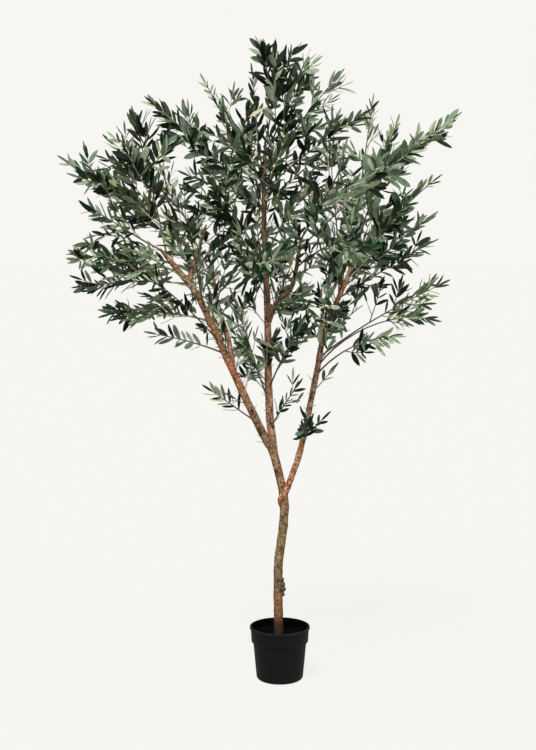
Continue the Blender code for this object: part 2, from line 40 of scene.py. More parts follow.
# --- pot and fill, as in the model
POT_HEIGHT = 0.187
POT_RIM_RADIUS = 0.105
POT_BASE_RADIUS = 0.082
POT_CORNER = 0.011  # radius of the edge round the underside
POT_WALL = 0.0028
COLLAR_HEIGHT = 0.052  # the wider band round the top
COLLAR_STEP = 0.0065  # how far the band stands out from the wall under it
COLLAR_SLOPE = 0.005  # height of the slope under the band
COLLAR_FLARE = 0.002  # how much wider the band is at its top
LIP_HEIGHT = 0.010
LIP_STEP = 0.0035
FILL_DEPTH = 0.025  # from the rim down to the fill
POT_SEGMENTS = 128
CORNER_PIECES = 8
EDGE_ROUND = 0.0009  # radius of the pot's moulded edges
EDGE_PIECES = 3
EDGE_SHARE = 0.4  # of a straight run that one rounded edge may take up
FILL_RIPPLE = 0.0016
RIPPLE_SCALE = 60  # ripples per metre
COVER_DEPTH = 0.015  # thickness of the cover on the fill, that lies inside the band
COVER_GAP = 0.0006
COVER_RINGS = 24
HAIR = 1e-6  # a distance that doesn't count

# --- limbs, as in the model: knots of the centre line, then the radius at the foot and at the tip
FILL_LEVEL = POT_HEIGHT - FILL_DEPTH
Limb = namedtuple("Limb", "knots foot_radius tip_radius")
LIMBS = {
    "trunk": Limb(
        [(-0.004, 0, FILL_LEVEL), (-0.006, 0, 0.380), (0.004, 0, 0.483), (0.012, 0, 0.550),
         (0.014, 0, 0.652)],
        0.0160, 0.0155,
    ),
    "bough_left": Limb(
        [(0.013, 0, 0.646), (-0.036, -0.015, 0.837), (-0.132, -0.045, 1.028), (-0.254, -0.085, 1.302),
         (-0.288, -0.100, 1.367), (-0.398, -0.120, 1.503)],
        0.0145, 0.0090,
    ),
    "bough_right": Limb(
        [(0.012, -0.004, 0.630), (0.072, -0.010, 0.819), (0.122, 0.020, 1.055), (0.161, 0.050, 1.232),
         (0.275, 0.100, 1.489)],
        0.0110, 0.0085,
    ),
    "bough_centre": Limb(
        [(-0.032, -0.013, 0.822), (-0.041, 0.030, 1.085), (-0.043, 0.050, 1.284), (-0.055, 0.045, 1.592),
         (-0.051, 0.035, 1.862)],
        0.0140, 0.0060,
    ),
    "bough_centre_fork": Limb(
        [(-0.043, 0.047, 1.250), (-0.011, 0, 1.321), (0.041, -0.050, 1.381), (0.068, -0.110, 1.540)],
        0.0095, 0.0055,
    ),
    "bough_left_fork": Limb(
        [(-0.290, -0.101, 1.370), (-0.300, -0.080, 1.422), (-0.283, -0.050, 1.475), (-0.251, 0, 1.582)],
        0.0090, 0.0055,
    ),
    "bough_left_rear": Limb(
        [(-0.158, -0.052, 1.084), (-0.175, 0, 1.184), (-0.215, 0.090, 1.306), (-0.238, 0.150, 1.433)],
        0.0095, 0.0060,
    ),
}
LIMB_TAPER = 1.5  # above 1, a limb keeps its girth low down and tapers more towards its tip
LIMB_STEP = 0.0035  # between two rings of a limb
LIMB_SIDES = 40
FOOT_FLARE = 0.0025  # how much wider the trunk is where it stands in the fill
FLARE_HEIGHT = 0.035
FOOT_SINK = 0.004  # how far the trunk goes on into the fill
END_TAPER = 0.070  # the last stretch of a bough, that thins out to the girth of its wires
END_POWER = 1.5  # above 1, it thins out more towards its end
END_RADIUS = 0.0035
# Knots on the trunk that run into one another: height, length from the trunk's middle, radii and way
KNOBS = (
    (0.352, 0.0225, (0.0105, 0.0070), (1, -0.35, 0.20)),
    (0.336, 0.0255, (0.0125, 0.0085), (1, -0.20, 0.05)),
    (0.320, 0.0285, (0.0120, 0.0080), (1, -0.30, 0.05)),
    (0.303, 0.0240, (0.0110, 0.0070), (1, -0.15, -0.10)),
)
KNOB_STEPS = 10
KNOB_DOME = 0.25  # the share of a knob's length that is domed
KNOB_END = 0.02  # how little of its breadth squared its end has
KNOB_SEED = 71.0
# The right bough's foot laps the front of the trunk: these knots are in place of its first one
LAP_KNOTS = (
    (0.003, -0.0065, 0.612), (0.001, -0.0100, 0.634), (0.008, -0.0115, 0.650), (0.022, -0.0070, 0.672),
)
LAP_RADIUS = 0.0040
# The left bough's skin bends where the centre bough leaves it: these knots are in place of its second one,
# and of the centre bough's first one
LEFT_KNOTS = ((-0.021, -0.010, 0.797), (-0.041, -0.016, 0.838), (-0.067, -0.024, 0.888))
CENTRE_KNOTS = ((-0.020, -0.008, 0.795), (-0.0275, 0.002, 0.860), (-0.0345, 0.010, 0.915))
STEM_STEP = 0.020  # between two points of the lines that stems start from
FORK_COLLAR = 0.0012  # how much a bough swells where it leaves its parent
FORK_REACH = 0.030
FORK_SWELL = 0.0014  # how much the left bough swells where the centre bough leaves it
SWELL_REACH = 0.045
# The bark's plates, ridges and grain: how far each stands out, and how closely they follow one another round
# the limb and along it
BARK_PLATES = (0.0013, 1.3, 32)
BARK_RIDGES = (0.0008, 3.0, 85)
BARK_GRAIN = (0.0005, 6, 190)
BARK_SUNK = 0.0006  # how far the bark's mean lies inside the limb's radius
BARK_SPACING = 10.0  # between the places in the noise that two limbs take their bark from
THIN_LIMB = 0.010  # the bark of a limb with a smaller radius stands out less

# --- masses of foliage, as in the model: where each one's stem leaves its limb, by height; the tip that it
# reaches; how far round the stem, in degrees, its first side shoot stands; the tone that most of its shoots
# have; the bare share of its stem; and how much the stem arches
Mass = namedtuple("Mass", "limb height reach roll tone bare arch", defaults=(0.30, 0.0))
MASSES = {
    # the left side, from the bottom up
    "left_foot": Mass("bough_left", 0.905, (-0.266, -0.08, 1.046), 180, "dark"),
    "left_skirt": Mass("bough_left", 1.150, (-0.453, -0.16, 1.232), 110, "grey"),
    "left_wing_low": Mass("bough_left", 1.260, (-0.612, -0.10, 1.300), 110, "mid"),
    "left_wing_mid": Mass("bough_left", 1.385, (-0.712, -0.02, 1.370), 110, "dark"),
    "left_wing_front": Mass("bough_left", 1.430, (-0.694, -0.24, 1.488), 20, "mid"),
    "left_wing_high": Mass("bough_left", 1.500, (-0.666, -0.10, 1.655), 140, "grey"),
    "left_shoulder": Mass("bough_left_fork", 1.470, (-0.750, -0.02, 1.815), 100, "grey"),
    "left_crest_low": Mass("bough_left_fork", 1.530, (-0.606, 0.05, 1.890), 90, "mid"),
    "left_crest_mid": Mass("bough_left", 1.475, (-0.495, -0.05, 1.977), 60, "dark"),
    "left_crest_high": Mass("bough_centre", 1.635, (-0.459, 0.02, 2.014), 30, "dark"),
    "left_feather": Mass("bough_centre", 1.680, (-0.276, 0.10, 2.100), 70, "pale", 0.55),
    "inner_crest": Mass("bough_centre", 1.715, (-0.220, -0.05, 2.023), 30, "grey"),
    # the top
    "top": Mass("bough_centre", 1.860, (-0.014, 0.05, 2.210), 60, "dark"),
    "top_right": Mass("bough_centre", 1.820, (0.104, 0.0, 2.172), 30, "grey"),
    "top_left": Mass("bough_centre", 1.740, (-0.100, 0.10, 2.135), 30, "dark"),
    # the right side, from the top down
    "right_crest_high": Mass("bough_centre", 1.765, (0.215, -0.02, 2.101), 90, "grey"),
    "right_crest_front": Mass("bough_centre", 1.693, (0.304, -0.12, 1.962), 20, "dark"),
    "right_feather": Mass("bough_right", 1.455, (0.323, 0.12, 2.037), 60, "pale"),
    "right_crest": Mass("bough_right", 1.425, (0.405, 0.03, 1.958), 110, "pale"),
    "right_arm_high": Mass("bough_centre_fork", 1.500, (0.605, -0.05, 1.956), 0, "grey", 0.50),
    "right_arm": Mass("bough_right", 1.400, (0.530, -0.14, 1.747), 200, "mid", 0.30, 0.15),
    "right_arm_mid": Mass("bough_right", 1.370, (0.540, 0.02, 1.629), 290, "grey"),
    "right_arm_low": Mass("bough_right", 1.330, (0.558, 0.14, 1.535), 290, "mid"),
    "right_wing_high": Mass("bough_right", 1.128, (0.574, -0.05, 1.400), 60, "mid", 0.50),
    "right_wing_low": Mass("bough_right", 1.098, (0.556, 0.03, 1.245), 30, "mid", 0.55, 0.70),
    "right_skirt": Mass("bough_right", 1.068, (0.420, -0.12, 1.210), 340, "pale", 0.45, 0.40),
    "right_foot": Mass("bough_right", 0.825, (0.114, -0.07, 0.948), 160, "deep"),
    # low down between the boughs
    "centre_foot": Mass("bough_centre", 0.885, (0.077, -0.08, 1.070), 70, "deep"),
    "centre_skirt": Mass("bough_centre", 1.020, (0.085, -0.14, 1.290), 340, "deep"),
    "inner_foot": Mass("bough_centre", 0.970, (-0.170, -0.12, 1.380), 60, "mid"),
    # inside the crown
    "inner_left": Mass("bough_centre", 1.440, (-0.262, -0.16, 1.790), 30, "deep"),
    "inner_right": Mass("bough_centre", 1.480, (0.120, 0.06, 1.780), 60, "deep"),
    "inner_low": Mass("bough_centre", 1.220, (0.040, 0.20, 1.440), 290, "grey"),
    # towards the front
    "front_left": Mass("bough_left", 1.300, (-0.290, -0.50, 1.640), 30, "deep"),
    "front_left_low": Mass("bough_left", 1.190, (-0.380, -0.42, 1.400), 60, "dark"),
    "front_centre": Mass("bough_centre", 1.330, (-0.090, -0.52, 1.480), 90, "deep"),
    "front_centre_high": Mass("bough_centre", 1.560, (-0.020, -0.40, 1.860), 20, "deep"),
    "front_right": Mass("bough_centre_fork", 1.440, (0.250, -0.50, 1.560), 50, "deep"),
    "front_right_low": Mass("bough_centre_fork", 1.360, (0.120, -0.40, 1.260), 80, "mid"),
    "front_right_high": Mass("bough_centre_fork", 1.535, (0.210, -0.36, 1.790), 110, "grey"),
    # towards the back
    "rear_left": Mass("bough_left_rear", 1.400, (-0.420, 0.46, 1.760), 30, "dark"),
    "rear_left_low": Mass("bough_left_rear", 1.290, (-0.380, 0.44, 1.380), 60, "mid"),
    "rear_centre": Mass("bough_centre", 1.380, (-0.100, 0.52, 1.560), 90, "deep"),
    "rear_centre_high": Mass("bough_centre", 1.600, (-0.160, 0.40, 1.920), 20, "mid"),
    "rear_right": Mass("bough_right", 1.290, (0.400, 0.48, 1.640), 50, "grey"),
    "rear_right_low": Mass("bough_right", 1.160, (0.330, 0.42, 1.300), 80, "deep"),
    "rear_right_high": Mass("bough_right", 1.360, (0.180, 0.40, 1.900), 110, "dark"),
}
# The pieces that they are joined into: each one's masses, by how their names start
GROUPS = {
    "left": ("left",),
    "middle": ("inner", "centre", "top"),
    "right": ("right",),
    "front": ("front",),
    "rear": ("rear",),
}
LIMB_GROUP = "middle"  # the one that has what grows on the limbs themselves
STEM_RADII = (0.0032, 0.0015)
STEM_SEGMENTS = 10
STEM_LEAVE = (0.60, 0.45, 0.30)  # how much a stem leaves its limb towards its reach, up the limb and outwards
STEM_DROOP = 0.10  # how much it turns down by its tip
STEM_BOW = 0.33  # how long it keeps its first and last directions, as a share of its length
SHOOT_RADII = (0.0020, 0.0011)
SHOOT_SEGMENTS = 5
SHOOT_LENGTH = 0.275  # of a side shoot at the root of its stem
SHOOT_TAPER = 0.70  # how much shorter one at the stem's tip would be
SHOOT_SCATTER = (0.85, 1.15)  # of their lengths
SHOOT_LEAN = math.radians(42)  # between a side shoot and its stem
SHOOT_LIFT = 0.15  # how far a shoot's tip turns upwards, as a share of its length
SHOOT_BOW = 0.4  # how long a shoot keeps its first and last directions, as a share of its length
SHOOT_HANG = 0.32  # how far below its root a shoot's tip may hang, as a share of its length
SHOOT_SPAN = (0.12, 0.80)  # the stretch of a stem that side shoots leave from
SHOOT_PITCH = 0.0445  # between two side shoots along a stem
BARE_SPARE = 0.14  # how far they start within the bare share of a stem, at most
SHOOT_TRIES = 6  # ways round its stem that a shoot may take
TWIG_RADII = (0.0013, 0.0008)
TWIG_SEGMENTS = 3
TWIG_PIECES = 4  # of the line that a twig follows
TWIG_LENGTH = 0.120
TWIG_SCATTER = (0.8, 1.2)  # of their lengths
TWIG_LEAN = math.radians(38)
TWIG_SPAN = (0.15, 0.55)
TWIG_SHARE = 0.65  # of the side shoots that have a twig
# The leafy shoots that a limb has of its own: the heights between which they stand, their length, the height
# between two, the tone that most of them have, and the way they stand out, within so many degrees
Row = namedtuple("Row", "limb low high length pitch tone way spread", defaults=(None, (0, -1), 180))
LIMB_SHOOTS = (
    Row("bough_left", 0.960, 1.120, 0.110, 0.026),
    Row("bough_left", 1.120, 1.500, 0.170, 0.048),
    Row("bough_left", 1.330, 1.490, 0.200, 0.030, "grey", (-1, -0.4), 70),
    Row("bough_right", 1.160, 1.320, 0.110, 0.013, "deep", (0, -1), 100),
    Row("bough_right", 1.320, 1.470, 0.190, 0.030),
    Row("bough_right", 1.290, 1.400, 0.200, 0.018, "grey", (-1, -0.4), 60),
    Row("bough_centre", 1.085, 1.185, 0.095, 0.011, "deep", (-0.2, -1), 60),
    Row("bough_centre", 1.200, 1.850, 0.150, 0.044),
    Row("bough_centre_fork", 1.270, 1.535, 0.170, 0.022, "grey", (0, -1), 110),
    Row("bough_left_fork", 1.410, 1.580, 0.230, 0.026),
    Row("bough_left_rear", 1.140, 1.425, 0.180, 0.030, "grey"),
    Row("bough_centre", 1.075, 1.165, 0.090, 0.012, "deep", (0.1, -1), 50),
    Row("bough_centre", 0.990, 1.050, 0.200, 0.020, "grey", (-1, -0.3), 35),
    Row("bough_right", 1.010, 1.150, 0.135, 0.035, "grey", (1, -0.3), 45),
)
LIMB_SHOOT_SCATTER = (0.75, 1.2)  # of their lengths
# How long a mass's side shoots and its leaves are, how wide these are, and how far apart its side shoots and
# its leaves stand, where that isn't the usual. Then the share of the pairs of leaves that stand across the
# others, and how far its leaves turn from the front or the back: below 1, all of them face the front
Habit = namedtuple("Habit", "shoot leaf width apart close crossed sway", defaults=(1, 1, 1, 1, 1, 0.30, 1))
ALONE = 20  # so far apart that a stem has no side shoot
HABITS = {
    "left_foot": Habit(0.45, 1.00, 0.85, ALONE, 0.70, 0.0, 0.3),
    "left_skirt": Habit(0.30, 0.95, 1.25, ALONE, 0.95, 0.0, 0.3),
    "left_wing_low": Habit(0.85, 0.95, 1.10, 1.0, 0.75, 0.2, 0.6),
    "left_wing_mid": Habit(0.90, 1.00, 1.05, 1.0, 0.85),
    "left_wing_front": Habit(0.95, 1.00, 1.05, 1.05, 0.90),
    "left_wing_high": Habit(0.85, 1.00, 1.00, 0.9, 0.90),
    "left_shoulder": Habit(1.05, 1.05, 1.20, 1.0, 0.72, 0.2, 0.6),
    "left_crest_low": Habit(1.10, 0.95, 0.95, 1.1, 0.95),
    "left_crest_mid": Habit(1.05, 1.15, 1.05, 0.9, 0.85),
    "left_crest_high": Habit(0.95, 1.18, 1.05, 0.85, 0.75),
    "left_feather": Habit(0.50, 0.80, 0.85, 1.2, 0.85, 0.1, 0.5),
    "inner_crest": Habit(0.80, 1.05, 1.05, 1.0, 0.85),
    "inner_left": Habit(1.20, 1.05, 1.15, 0.8, 0.80),
    "top": Habit(1.00, 1.15, 1.10, 1.0, 0.90),
    "top_right": Habit(0.90, 1.15, 1.05, 1.0, 0.90),
    "top_left": Habit(0.40, 1.05, 1.10, 1.7, 1.0),
    "right_crest_high": Habit(0.80, 1.08, 1.05, 1.0, 0.85),
    "right_crest_front": Habit(0.70, 1.15, 1.00, 1.05, 0.80),
    "right_feather": Habit(0.65, 1.00, 1.00, 1.2, 0.85, 0.2, 0.5),
    "right_crest": Habit(0.85, 1.00, 1.25, 1.1, 0.85, 0.3, 0.6),
    "right_arm_high": Habit(0.72, 1.12, 1.15, 0.9, 0.52, 0.2, 0.6),
    "right_arm": Habit(0.60, 1.05, 1.15, 1.0, 0.62, 0.2, 0.6),
    "right_arm_mid": Habit(0.62, 1.05, 1.10, 1.2, 0.85, 0.2, 0.6),
    "right_arm_low": Habit(0.60, 1.05, 1.00, 1.3, 0.95),
    "right_wing_high": Habit(0.85, 1.05, 0.85, 1.15, 0.90, 0.1, 0.6),
    "right_wing_low": Habit(0.70, 1.05, 0.85, 1.4, 0.90, 0.1, 0.6),
    "right_skirt": Habit(0.60, 1.00, 0.95, 1.1, 0.75, 0.1, 0.6),
    "right_foot": Habit(0.70, 0.70, 1.35, 0.5, 0.45),
    "centre_foot": Habit(0.60, 0.80, 0.90, 1.3, 0.95),
    "centre_skirt": Habit(0.85, 0.95, 1.10, 1.0, 0.80),
    "inner_foot": Habit(0.90, 0.85, 0.85, 1.0, 0.90),
}
LIMB_HABIT = Habit(leaf=0.88, width=1.10)
# The bare spurs on the boughs below the leaves: the heights between which they stand, and their number
SPURS = {
    "bough_left": (0.80, 1.26, 26),
    "bough_right": (0.80, 1.15, 16),
    "bough_centre": (0.88, 1.10, 12),
}
SPUR_REACH = (0.010, 0.034)  # how far they stand out from the bark
SPUR_RADII = (0.0014, 0.0006)
SPUR_LEAN = math.radians(58)
SPUR_LIFT = (-0.2, 0.4)  # how far their tips turn upwards, as a share of their length
WIRE_SIDES = 6
GOLDEN_ANGLE = math.radians(137.5)
SPACE = 0.24  # how far from its stem a mass may reach
BORDER = 0.030  # how much nearer than its own stem another mass's may be

# --- leaves, life-size: in pairs, with one on each wire's tip
LEAF_LENGTHS = (0.043, 0.072)
LEAF_GROWTH = (0.80, 1.02)  # what share of that they have at their wire's tip and at its root
LEAF_WIDTHS = (0.17, 0.32)  # as shares of its length
LEAF_PITCH = 0.0255  # between two pairs
PITCH_SCATTER = (0.85, 1.15)
LEAF_LEAN = (math.radians(24), math.radians(48))  # between a leaf and its wire, at the wire's tip and root
LEAF_OPENING = 1.6  # above 1, they have the root's lean some way before the root
LEAF_SWAY = math.radians(16)  # scatter in how a leaf stands
LEAF_TWIST = math.radians(30)  # scatter in how it is twisted
# How much less a leaf beside its wire faces along that, and how much more it faces its shoot's way
LEAF_FLAT = (0.6, 0.8)
LEAF_FLIPPED = 0.30  # share of the leaves that are turned over
LEAF_DROOP = 0.16
DROOP_SCATTER = (0.2, 1.4)
TIP_LEAF = 0.050  # length of a wire's line that its last leaf takes up
TIP_LEAF_LEAST = 0.03
TIP_LEAF_DROOP = 0.03
FACE_SWAY = 48  # degrees that a shoot's leaves face away from straight to the front or the back
FACE_LIFT = 0.35  # how much they face the sky
FACE_FRONT = 0.60  # share of the shoots in the middle of the crown whose leaves face the front
FACE_DEPTH = 0.50  # how much that share falls for each metre further back
LEAF_STATIONS = ((0.0, 0.12), (0.14, 0.60), (0.36, 0.96), (0.62, 0.97), (0.86, 0.60))  # place and width
LEAF_FOLD = 0.16  # how far a leaf's edges rise from its midrib, as a share of its half width
LEAF_THICKNESS = 0.010  # as a share of its length
LEAF_TIP_RISE = 0.010
SHORTEST_WIRE = 0.020
BARE_SHOOT = 0.12  # share of a side shoot with no leaves

# --- camera, and the photo's frame in pixels
CAMERA_PLACE = (-0.0413, -4.5, 1.563)
CAMERA_PITCH = 6.24  # degrees below level
CAMERA_SENSOR = 36  # mm, the height of the frame
CAMERA_LENS = 63.36
VIEW_SIZE = (536, 750)
VIEW_FOCAL = VIEW_SIZE[1] * CAMERA_LENS / CAMERA_SENSOR
LEAF_TESTS = np.array([[0.0], [0.5], [1.0]])  # the points along a leaf that tell whether it is in the way
LEAF_MIDDLE = 1  # the one of them that counts for a gap

# --- the places where the photo shows its background through the crown: each one's middle, half width and
# half height, in pixels of its frame
GAPS = (
    # the left side, from the top down
    (213, 114, 6, 8), (214, 140, 4, 6), (181, 157, 8, 14), (141, 190, 7, 11), (112, 196, 5, 6),
    (184, 214, 6, 9), (80, 224, 12, 16), (179, 262, 7, 9), (178, 287, 15, 12), (184, 321, 22, 7),
    (158, 322, 14, 6), (150, 350, 18, 8),
    # the top
    (234, 50, 10, 16), (244, 80, 8, 15), (282, 100, 4, 10), (305, 104, 8, 6), (323, 86, 5, 12),
    # the right side, from the top down
    (362, 140, 10, 13), (426, 157, 8, 5), (352, 168, 6, 7), (330, 173, 7, 8), (428, 199, 15, 10),
    (333, 222, 6, 6), (437, 226, 16, 6), (434, 262, 9, 4), (413, 281, 9, 5), (366, 311, 20, 12),
    (378, 326, 14, 8), (357, 327, 10, 8), (343, 344, 10, 12),
    # low down between the boughs
    (254, 350, 5, 12), (228, 362, 8, 12), (304, 362, 8, 20), (226, 377, 8, 9), (250, 396, 8, 16),
)
CLEAR_OF_SHOOTS = ((178, 342, 36, 16),)  # where one stem's leaves stand alone, likewise
# The stretches of limbs that nothing hides from the front, by height
BARE_LIMBS = (
    ("trunk", 0.16, 0.64), ("bough_left", 0.66, 1.19), ("bough_left", 1.26, 1.49),
    ("bough_left_fork", 1.37, 1.46), ("bough_right", 0.98, 1.15), ("bough_right", 1.33, 1.42),
    ("bough_centre", 0.83, 1.08), ("bough_centre", 1.21, 1.37),
)
BARE_STEP = 0.008  # between two points of these
BARE_WIDTH = 6.5  # pixels to each side of them

# --- colours, as a screen shows them, and surfaces. A leaf's tone is that of its upper side and its underside
TONES = {
    "dark": ((15, 27, 11), (76, 88, 62)),
    "deep": ((12, 48, 22), (90, 108, 78)),
    "mid": ((43, 68, 40), (118, 134, 104)),
    "grey": ((106, 128, 100), (156, 168, 144)),
    "pale": ((144, 160, 130), (184, 194, 164)),
    "cream": ((160, 164, 124), (204, 205, 168)),
}
SHOOT_TONES = ("dark", "dark", "dark", "deep", "mid", "grey", "grey", "pale")  # that any shoot may have
LEAF_TONES = (*SHOOT_TONES, "cream")  # that any leaf may have
TONE_KEPT = 0.55  # share of a mass's shoots that have its own tone
LEAF_KEPT = 0.62  # share of a shoot's leaves that have its tone
LEAF_ROUGHNESS = {"top": 0.55, "under": 0.75}
LEAF_GLOSS = 0.2
WIRE_TONES = {"dark": (98, 90, 76), "pale": (194, 197, 150)}
PALE_WIRES = 0.45  # share of the shoots whose wire is pale
WIRE_ROUGHNESS = 0.7
WIRE_GLOSS = 0.5
# The inputs and the output of Blender's mix node for colours, by number
MIX_FACTOR, MIX_FIRST, MIX_SECOND, MIX_RESULT = 0, 6, 7, 2
# The noise in a surface: features per metre, its scale along X, Y and Z, and its detail and roughness
Noise = namedtuple("Noise", "scale stretch detail roughness", defaults=((1, 1, 1), 6, 0.6))
MOTTLE = (0.80, 1.20)  # how dark and how light the patches on leaves, wires and the pot's inside are
MOTTLE_NOISE = Noise(60, detail=4)
MOTTLE_STEPS = (0.36, 0.64)  # where in the noise these tones are, as in the other steps
FINE_NOISE = Noise(900, detail=2)
CLOTH_BUMP = (0.2, 0.0003)  # strength and depth, as in the other bumps
POT_TONES = ((7, 7, 7), (12, 12, 13))
POT_STEPS = (0.35, 0.70)
POT_ROUGHNESS = (0.42, 0.60)
POT_ROUGH_STEPS = (0.30, 0.70)
POT_NOISE = Noise(60, (1, 1, 3))
POT_GLOSS = 0.26
POT_BUMP = (0.15, 0.0003)
# the pot's inner faces: the same plastic, painted near black and matt as the shade inside the pot
POT_INSIDE_SHADE = (5, 5, 5)
POT_INSIDE_SHADE_ROUGHNESS = 0.9
FILL_TONES = ((4, 4, 4), (10, 9, 9))
FILL_STEPS = (0.35, 0.65)
FILL_NOISE = Noise(260, detail=4)
FILL_ROUGHNESS = 0.95
FILL_GLOSS = 0.02
FILL_BUMP = (0.6, 0.002)
# the bark's dark stain; on the trunk's foot inside the pot it is painted shade
BARK_STAIN_AND_SHADE = (44, 28, 18)
BARK_MOSS = (0.66, 0.78, 0.68)  # the shares of red, green and blue that moss leaves of the bark's colour
BARK_ROUGHNESS = 0.85
BARK_GLOSS = 0.2
BARK_BUMP = (0.7, 0.0015)
BARK_TOP = 2.0  # the height that the places of worn, stained and mossy bark are shares of
PATCH_NOISE = Noise(70, (1, 1, 0.6), 8, 0.72)
PATCH_STEPS = (0.38, 0.47, 0.60)  # where in the noise the dark, middle and light tones are
WORN_NOISE = Noise(44, (1, 1, 0.5), 8, 0.72)
WORN_STEPS = (0.86, 0.98)
SPECK_NOISE = Noise(150, (1, 1, 0.8), 3, 0.65)
SPECK_STEPS = (0.39, 0.49)
SPECK_SHADE = (0.20, 0.17, 0.15)
# painted highlights: pale glints where the speck noise, which the bump also raises, is highest
PAINTED_GLINT_STEPS = (0.56, 0.64)
PAINTED_GLINT_SHARE = 0.85
# A limb's bark: its dark, middle and light tones, the orange wood that shows where it has worn off, and the
# pale glints painted on its ridges as highlights; how dark its specks are; then (height, share) pairs of how
# much it has worn, of how dark it is stained, with painted shade at the trunk's foot inside the pot, and of
# how mossy it is
Bark = namedtuple("Bark", "tones specks worn stained moss")
BARKS = {
    "trunk": Bark(
        ((70, 46, 28), (140, 104, 74), (180, 140, 110), (196, 128, 86), (226, 192, 162)),
        0.6,
        ((0.16, 0.40), (0.22, 0.42), (0.30, 0.40), (0.35, 0.30), (0.45, 0.22), (0.60, 0.28), (0.635, 0.42),
         (0.66, 0.28), (0.92, 0.28), (1.04, 0.38), (1.10, 0.46), (1.24, 0.46), (1.29, 0.32), (1.45, 0.26)),
        # near the fill, inside the pot, this darkening is painted shade; the dark band higher up is the
        # bark's own
        ((0.16, 0.98), (0.185, 0.95), (0.205, 0.86), (0.225, 0.55), (0.30, 0.34), (0.36, 0.20), (0.45, 0.0),
         (0.722, 0.0), (0.732, 0.65), (0.742, 0.10), (0.95, 0.0)),
        ((0.22, 0.30), (0.30, 0.60), (0.37, 1.0), (0.60, 0.85), (0.66, 0.45), (0.95, 0.30), (1.05, 0.0),
         (1.28, 0.0), (1.33, 0.30)),
    ),
    "bough_right": Bark(
        ((68, 44, 26), (144, 106, 76), (212, 168, 132), (166, 98, 56), (240, 206, 176)),
        0.8,
        ((0.63, 0.44), (0.80, 0.42), (0.88, 0.28), (1.00, 0.18), (1.28, 0.22), (1.36, 0.40)),
        ((0.63, 0.0), (1.14, 0.0), (1.20, 0.45), (1.32, 0.35), (1.36, 0.05)),
        ((0.78, 0.0), (0.90, 0.10), (1.25, 0.20), (1.34, 0.0)),
    ),
    "bough_centre": Bark(
        ((76, 52, 34), (158, 120, 90), (198, 160, 130), (180, 118, 78), (228, 198, 170)),
        0.65,
        ((0.82, 0.34), (1.00, 0.34), (1.20, 0.38), (1.40, 0.34), (1.60, 0.25)),
        ((0.82, 0.0), (1.30, 0.0), (1.45, 0.25), (1.60, 0.50)),
        ((0.82, 0.0), (1.28, 0.0), (1.45, 0.30), (1.60, 0.40)),
    ),
}
BARKS["bough_left_rear"] = BARKS["bough_centre"]
BARKS["knobs"] = BARKS["trunk"]._replace(worn=((0.0, 0.0),), stained=((0.0, 0.62),))
FORK_BARK = BARKS["bough_centre"]._replace(
    worn=((1.00, 0.20), (1.60, 0.20)), stained=((1.00, 0.22), (1.40, 0.30), (1.60, 0.50))
)

# --- stage
BACKGROUND = (247, 246, 242)
SKY_STRENGTH = 0.50  # of what the surroundings light the tree with
# Energy, softness in degrees, and the way it comes from
SUNS = (
    (3.4, 20, (-0.35, -0.75, 1.30)),
    (0.8, 40, (0.9, -0.7, 0.4)),
)
FLOOR_RADIUS = 60.0
FLOOR_SIDES = 96
FLOOR_SINK = 0.0005  # how far it lies below the pot
FLOOR_GLOW = 0.92  # share of the floor's brightness that no shadow takes away
FLOOR_FILL = 0.30  # how brightly it lights the tree from below
SHARP_ANGLE = math.radians(40)  # from which an edge between two faces looks sharp


# --- curves and tubes
def between(ends, share):
    """The value at that share of the way from one end to the other."""
    return ends[0] + (ends[1] - ends[0]) * share


def spline(knots, step):
    """Points about a step apart on the Catmull-Rom curve through the knots."""
    knots = [Vector(k) for k in knots]
    ends = [2 * knots[0] - knots[1], *knots, 2 * knots[-1] - knots[-2]]
    points = [knots[0]]
    for a, b, c, d in zip(ends, ends[1:], ends[2:], ends[3:]):
        pieces = max(1, round((c - b).length / step))
        for i in range(1, pieces + 1):
            t = i / pieces
            bend = (2 * a - 5 * b + 4 * c - d) * t**2 + (3 * b - a - 3 * c + d) * t**3
            points.append(b + ((c - a) * t + bend) / 2)
    return points


def bezier(start, leave, arrive, end, pieces):
    """Points on the cubic that leaves start by the vector leave and arrives at end by the vector arrive."""
    second, third = start + leave, end - arrive
    points = []
    for i in range(pieces + 1):
        t = i / pieces
        s = 1 - t
        points.append(s**3 * start + 3 * s * s * t * second + 3 * s * t * t * third + t**3 * end)
    return points


def turned(vector, axis, angle):
    return Matrix.Rotation(angle, 3, axis) @ vector


def leaning(along, normal, azimuth, lean):
    """The way of a line at that lean, at that azimuth round it."""
    return turned(along, turned(normal, along, azimuth), lean)


